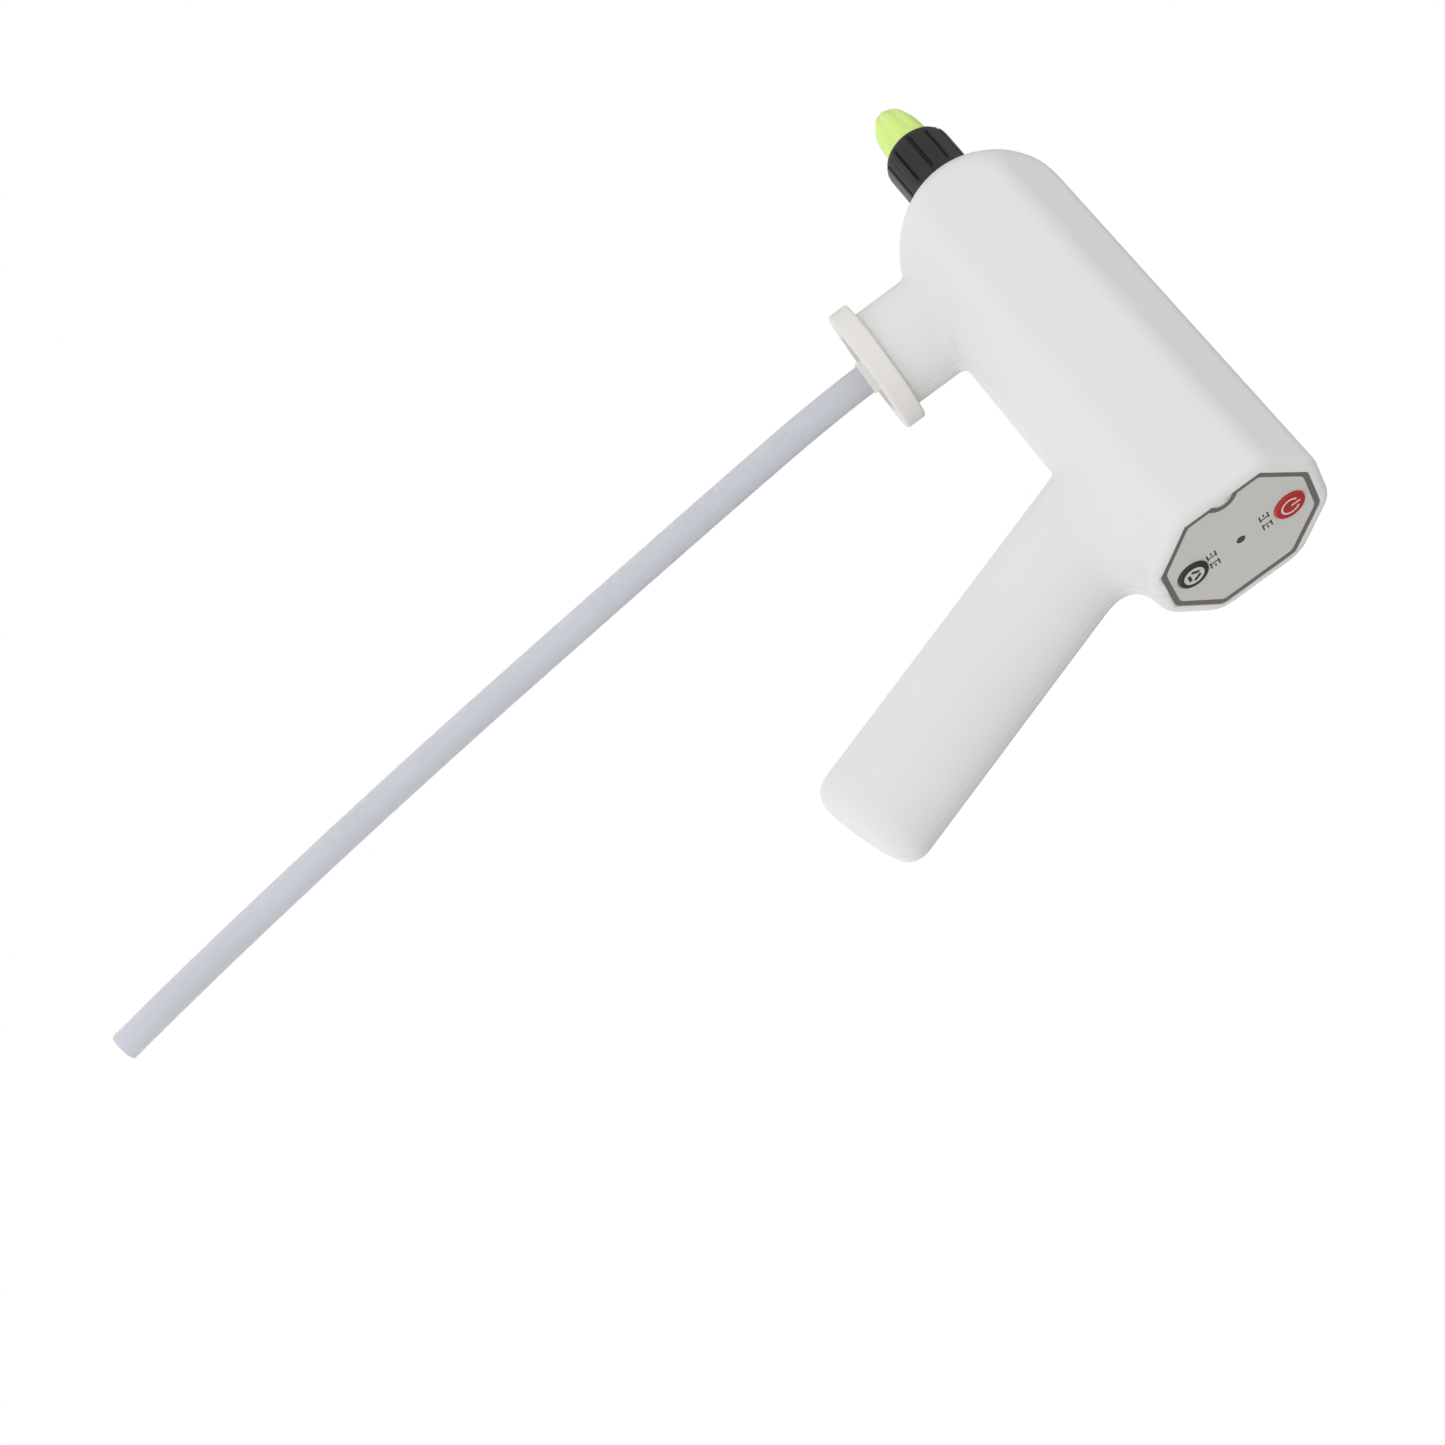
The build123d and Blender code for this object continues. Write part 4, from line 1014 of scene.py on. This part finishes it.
# ---- nozzle --------------------------------------------------------------------------------------
def lobed(name, profile, wave, around, centre):
    """A solid of revolution along X whose radius takes up the wave by each row's share: radius(t) is
    the row's radius minus its share times the wave at angle t. Rows hold (along, radius, share)."""
    profile = np.asarray(profile, float)
    t = np.arange(around) * 2 * math.pi / around
    radius = profile[:, 1][:, None] - profile[:, 2][:, None] * wave(t)[None, :]
    along = np.repeat(profile[:, 0], around).reshape(-1, around)
    grid = np.stack([along, radius * np.cos(t), radius * np.sin(t)], -1).reshape(-1, 3) + np.asarray(centre)
    rows = len(profile)
    ring = np.arange(around)
    nxt = (ring + 1) % around
    count = rows * around
    poles = np.asarray(centre) + np.array([[profile[0, 0], 0, 0], [profile[-1, 0], 0, 0]])
    start = np.stack([np.full(around, count), nxt, ring], -1)
    last = (rows - 1) * around
    end = np.stack([np.full(around, count + 1), last + ring, last + nxt], -1)
    return outward(mesh_from(name, np.concatenate([grid, poles]), ring_quads(rows, around), start, end))


def bored(mesh, bores, z, around):
    """The mesh with round bores cut along X at height z, each a radius, a start and an end."""
    for radius, start, end in bores:
        mesh = combine(mesh, cylinder("bore", radius, (start, 0, z), (end, 0, z), around), "DIFFERENCE")
    return mesh


class SPRAYGUN_OT_collar(Operator):
    """The black collar nut: wide ribs with narrow grooves behind a plain front ring"""
    bl_idname = "spray_gun.collar"
    bl_label = "Collar nut"

    def execute(self, context):
        s = sizes("nozzle")
        z = sizes("casing").nozzle_z
        low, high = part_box("collar_nut")
        front, back, outer = low[0], high[0], (high[2] - low[2]) / 2
        ring = outer - s.rib_height
        start = front + s.rib_start
        rows = [(back, outer - 0.7 * MM, 0), (back - 0.15 * MM, outer - 0.3 * MM, 0.5 * 0.45),
                (back - 0.5 * MM, outer, 0.45)]
        rows += [(back - s.skirt, outer, 0.45), (back - s.skirt - 0.4 * MM, outer, 1)]
        rows += [(x, outer, 1) for x in np.linspace(back - s.skirt - 1.5 * MM, start + 0.6 * MM, 10)]
        rows += [(start + 0.25 * MM, outer - 0.06 * MM, 1), (start + 0.05 * MM, outer - 0.3 * MM, 0.6)]
        rows += [(start, ring + 0.05 * MM, 0.1), (start - 0.1 * MM, ring, 0)]
        rows += [(front + 1.5 * MM, ring, 0), (front + 1.1 * MM, ring - 0.12 * MM, 0)]
        rows += [(front + 0.25 * MM, ring - 1.0 * MM, 0), (front, ring - 1.45 * MM, 0)]
        depth = s.rib_height * 1.15
        place = np.array([0, 0, z])

        def wave(t):
            off = (t * s.ribs / (2 * math.pi) + 0.5) % 1 - 0.5
            return depth * np.exp(-(off / 0.085) ** 4) + 0.12 * MM * (2 * off) ** 2

        mesh = lobed("collar", rows, wave, s.ribs * 36, place)
        bores = ((s.tip / 2 + s.tip_room, front - MM, back),
                 (s.collar_thread / 2, front + s.collar_lip, back + MM),
                 (sizes("casing").nose_boss / 2 + s.tip_room, back - s.skirt, back + MM))
        mesh = bored(mesh, bores, z, 96)
        piece = add_object("collar_ribbed", mesh)
        sharp_by_angle(piece, 32)
        settle(piece, "collar", "collar_black", "collar_nut")
        return {"FINISHED"}


class SPRAYGUN_OT_tip(Operator):
    """The yellow-green spray tip: a rounded cone with soft lobes and the orifice in front"""
    bl_idname = "spray_gun.tip"
    bl_label = "Nozzle tip"

    def execute(self, context):
        s = sizes("nozzle")
        z = sizes("casing").nozzle_z
        low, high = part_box("nozzle_tip")
        front, back, outer = low[0], high[0], s.tip / 2
        reach = back - front - 4 * MM
        u = np.concatenate([np.linspace(0, 0.8, 18), 1 - 0.2 * (1 - np.linspace(0.12, 1, 16)) ** 2])
        full = 1 - 0.16 * u - 0.16 * u ** 3
        round_end = np.sqrt(np.maximum(1 - (np.maximum(u - 0.45, 0) / 0.55) ** 2.6, 0))
        radius = outer * full * round_end
        share = np.clip(u / 0.25, 0, 1) ** 2 * np.clip((1 - u) / 0.12, 0, 1)
        rows = [(back, outer - 0.1 * MM, 0)] + [
            (back - 4 * MM - reach * a, r, w) for a, r, w in zip(u, radius, share) if r > 0.9 * MM]
        rows.append((front, 0.85 * MM, 0))

        def wave(t):
            return s.lobe_depth * (0.5 - 0.5 * np.cos(s.lobes * t)) ** 1.5

        mesh = lobed("tip", rows, wave, s.lobes * 20, np.array([0, 0, z]))
        pipe = front + 9 * MM
        bores = ((s.pipe_bore / 2, pipe - 0.5 * MM, back + MM), (s.swirl_bore / 2, front + 3 * MM, pipe),
                 (s.orifice / 2, front - MM, front + 4 * MM))
        mesh = bored(mesh, bores, z, 48)
        piece = add_object("tip_lobed", mesh)
        sharp_by_angle(piece, 40)
        settle(piece, "tip", "tip_green", "nozzle_tip")
        return {"FINISHED"}


# ---- rear panel ----------------------------------------------------------------------------------
def label_outline(inset, count=1440):
    """The label's outline drawn in by an inset. Each point is the nearest to the middle of the rounded
    octagon, 1 over the power mean of its facets' reaches, and of the round notch in the long edge."""
    s, p = sizes("casing"), sizes("panel")
    t = np.arange(count) * 2 * math.pi / count
    u = np.column_stack([np.cos(t), np.sin(t)])
    corners = octagon_outline(inset) - (0, s.barrel_z)
    side = np.roll(corners, -1, 0) - corners
    normal = np.column_stack([side[:, 1], -side[:, 0]])
    normal /= np.linalg.norm(normal, axis=1)[:, None]
    offset = (normal * corners).sum(1)
    reach = np.maximum(u @ normal.T, 0) / offset
    octagon = (reach ** p.corner).sum(1) ** (-1 / p.corner)
    centre = np.array([-(s.barrel_width / 2 - p.inset + p.notch_radius - p.notch_depth), 0.0])
    radius = p.notch_radius + inset - p.inset
    along = u @ centre
    inside = along ** 2 - centre @ centre + radius ** 2
    hit = np.where((inside > 0) & (along > 0), along - np.sqrt(np.maximum(inside, 0)), 9.0)
    return u * np.minimum(octagon, hit)[:, None] + (0, s.barrel_z)


def arc_band(radius, width, start, end, count=48):
    """Outline of a round band between two angles, as (y, z) pairs."""
    t = np.radians(np.linspace(start, end, count))[:, None]
    ray = np.concatenate([np.cos(t), np.sin(t)], 1)
    return np.concatenate([ray * (radius + width / 2), ray[::-1] * (radius - width / 2)])


def stroke(y0, z0, y1, z1, width):
    """Outline of a straight stroke between two points, as (y, z) pairs."""
    a, b = np.array([y0, z0]), np.array([y1, z1])
    way = (b - a) / np.linalg.norm(b - a)
    side = np.array([-way[1], way[0]]) * width / 2
    return np.array([a - side, b - side, b + side, a + side])


class SPRAYGUN_OT_panel(Operator):
    """The rear label's printed border, the two buttons with their marks, and the generic captions"""
    bl_idname = "spray_gun.rear_panel"
    bl_label = "Rear panel"

    def execute(self, context):
        p = sizes("panel")
        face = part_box("panel_label")[1][0]
        edge = 0.04 * MM
        band = band_x("label_border", label_outline(p.inset + edge), label_outline(p.inset + p.border),
                      face - 0.01 * MM, face + p.print_height)
        settle(add_object("label_border", band, False), "gun", "label_grey", ink="border_ink")
        power = self.cap("power_button", "power_cap", "button_red")
        mode = self.cap("mode_button", "mode_cap", "button_black")
        self.power_mark(power)
        self.mode_mark(mode)
        self.captions(face)
        return {"FINISHED"}

    def cap(self, node, name, slot):
        """A button with its hidden rim and post; returns the middle of its face."""
        p = sizes("panel")
        low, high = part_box(node)
        face, root = high[0], low[0]
        y, z = (low[1] + high[1]) / 2, (low[2] + high[2]) / 2
        rim = (high[1] - low[1]) / 2
        corners = [(root, 0), (root, p.post / 2), (face - p.rim_back, p.post / 2), (face - p.rim_back, rim),
                   (face - p.rim_front, rim), (face - p.rim_front, p.cap / 2), (face, p.cap / 2), (face, 0)]
        radii = [0, 0, 0, 0, 0, 0, p.cap_rounding, 0]
        piece = add_object(name, turned(name, round_corners(corners, radii, 8), "X", (0, y, z), 96))
        sharp_by_angle(piece, 35)
        settle(piece, node, slot, node)
        return face, y, z

    def printed(self, name, outlines, place, body, slot, ink, lift=1):
        """Flat ink on a face: one closed bar for each outline, as thick as the print."""
        p = sizes("panel")
        x, y, z = place
        back, front = x - 0.02 * MM, x + p.print_height * lift
        parts = [prism_x(name, outline + (y, z), back, front) for outline in outlines]
        settle(add_object(name, joined(name, parts), False), body, slot, ink=ink)

    def power_mark(self, place):
        """Open ring with a bar, the common sign for power."""
        ring = arc_band(2.8 * MM, 0.6 * MM, 90 + 34, 90 + 326)
        bar = stroke(0, 0.3 * MM, 0, 3.2 * MM, 0.6 * MM)
        self.printed("power_mark", [ring, bar], place, "power_button", "button_red", "mark_white")

    def mode_mark(self, place):
        """A pale round field with three dark strokes that form a triangle."""
        field = circle(3.3 * MM, 72)
        self.printed("mode_field", [field], place, "mode_button", "button_black", "label_grey")
        strokes = []
        for k in range(3):
            turns = math.radians(90 + 120 * k + 18), math.radians(90 + 120 * k + 102)
            ends = [2.0 * MM * part(t) for t in turns for part in (math.cos, math.sin)]
            strokes.append(stroke(*ends, 1.0 * MM))
        self.printed("mode_mark", strokes, place, "mode_button", "button_black", "button_black", 2)

    def captions(self, face):
        """Two pairs of generic marks where the captions are: plain bars in a small frame."""
        for name, y, z in (("power_caption", -0.2, 61.4), ("mode_caption", 0.0, 43.6)):
            strokes = []
            for side in (-1, 1):
                c = side * 2.2 * MM
                w, h, t = 1.35 * MM, 1.35 * MM, 0.45 * MM
                strokes += [stroke(c - w, h, c + w, h, t), stroke(c - w, -h, c + w, -h, t)]
                upright = c - side * w * 0.5
                strokes.append(stroke(upright, -h + 0.25 * MM, upright, h - 0.25 * MM, t))
                strokes.append(stroke(c + side * w * 0.15, 0, c + side * w, 0, t))
            self.printed(name, strokes, (face, y * MM, z * MM), "gun", "label_grey", "button_black")


CLASSES = [c for _, c in GROUPS]
OPERATORS = [SPRAYGUN_OT_stage, SPRAYGUN_OT_tube, SPRAYGUN_OT_casing, SPRAYGUN_OT_adapter,
             SPRAYGUN_OT_collar, SPRAYGUN_OT_tip, SPRAYGUN_OT_panel]


def cad_finishes():
    for row in frame["record"]["subparts"]:
        piece = frame["nodes"][row["node"]]
        piece.data.materials.clear()
        piece.data.materials.append(finish_of(row["material_slot"]))


class SPRAYGUN_PT_panel(Panel):
    """Lists the spray gun's pieces and sizes"""
    bl_idname = "SPRAYGUN_PT_panel"
    bl_label = "Spray Gun"
    bl_space_type = "VIEW_3D"
    bl_region_type = "UI"
    bl_category = "Spray Gun"

    def draw(self, context):
        for operator in OPERATORS:
            self.layout.operator(operator.bl_idname)
        for name, group in GROUPS:
            box = self.layout.box()
            box.label(text=name.title())
            for key in group.__annotations__:
                box.prop(sizes(name), key)


def register():
    for cls in [*CLASSES, *OPERATORS, SPRAYGUN_PT_panel]:
        bpy.utils.register_class(cls)
    for name, group in GROUPS:
        setattr(bpy.types.Scene, "spray_gun_" + name, PointerProperty(type=group))


def unregister():
    for name, _ in GROUPS:
        delattr(bpy.types.Scene, "spray_gun_" + name)
    for cls in reversed([*CLASSES, *OPERATORS, SPRAYGUN_PT_panel]):
        bpy.utils.unregister_class(cls)


def main():
    register()
    bpy.ops.spray_gun.stage()
    bpy.ops.spray_gun.tube()
    bpy.ops.spray_gun.casing()
    bpy.ops.spray_gun.adapter()
    bpy.ops.spray_gun.collar()
    bpy.ops.spray_gun.tip()
    bpy.ops.spray_gun.rear_panel()
    cad_finishes()


if __name__ == "__main__":
    main()
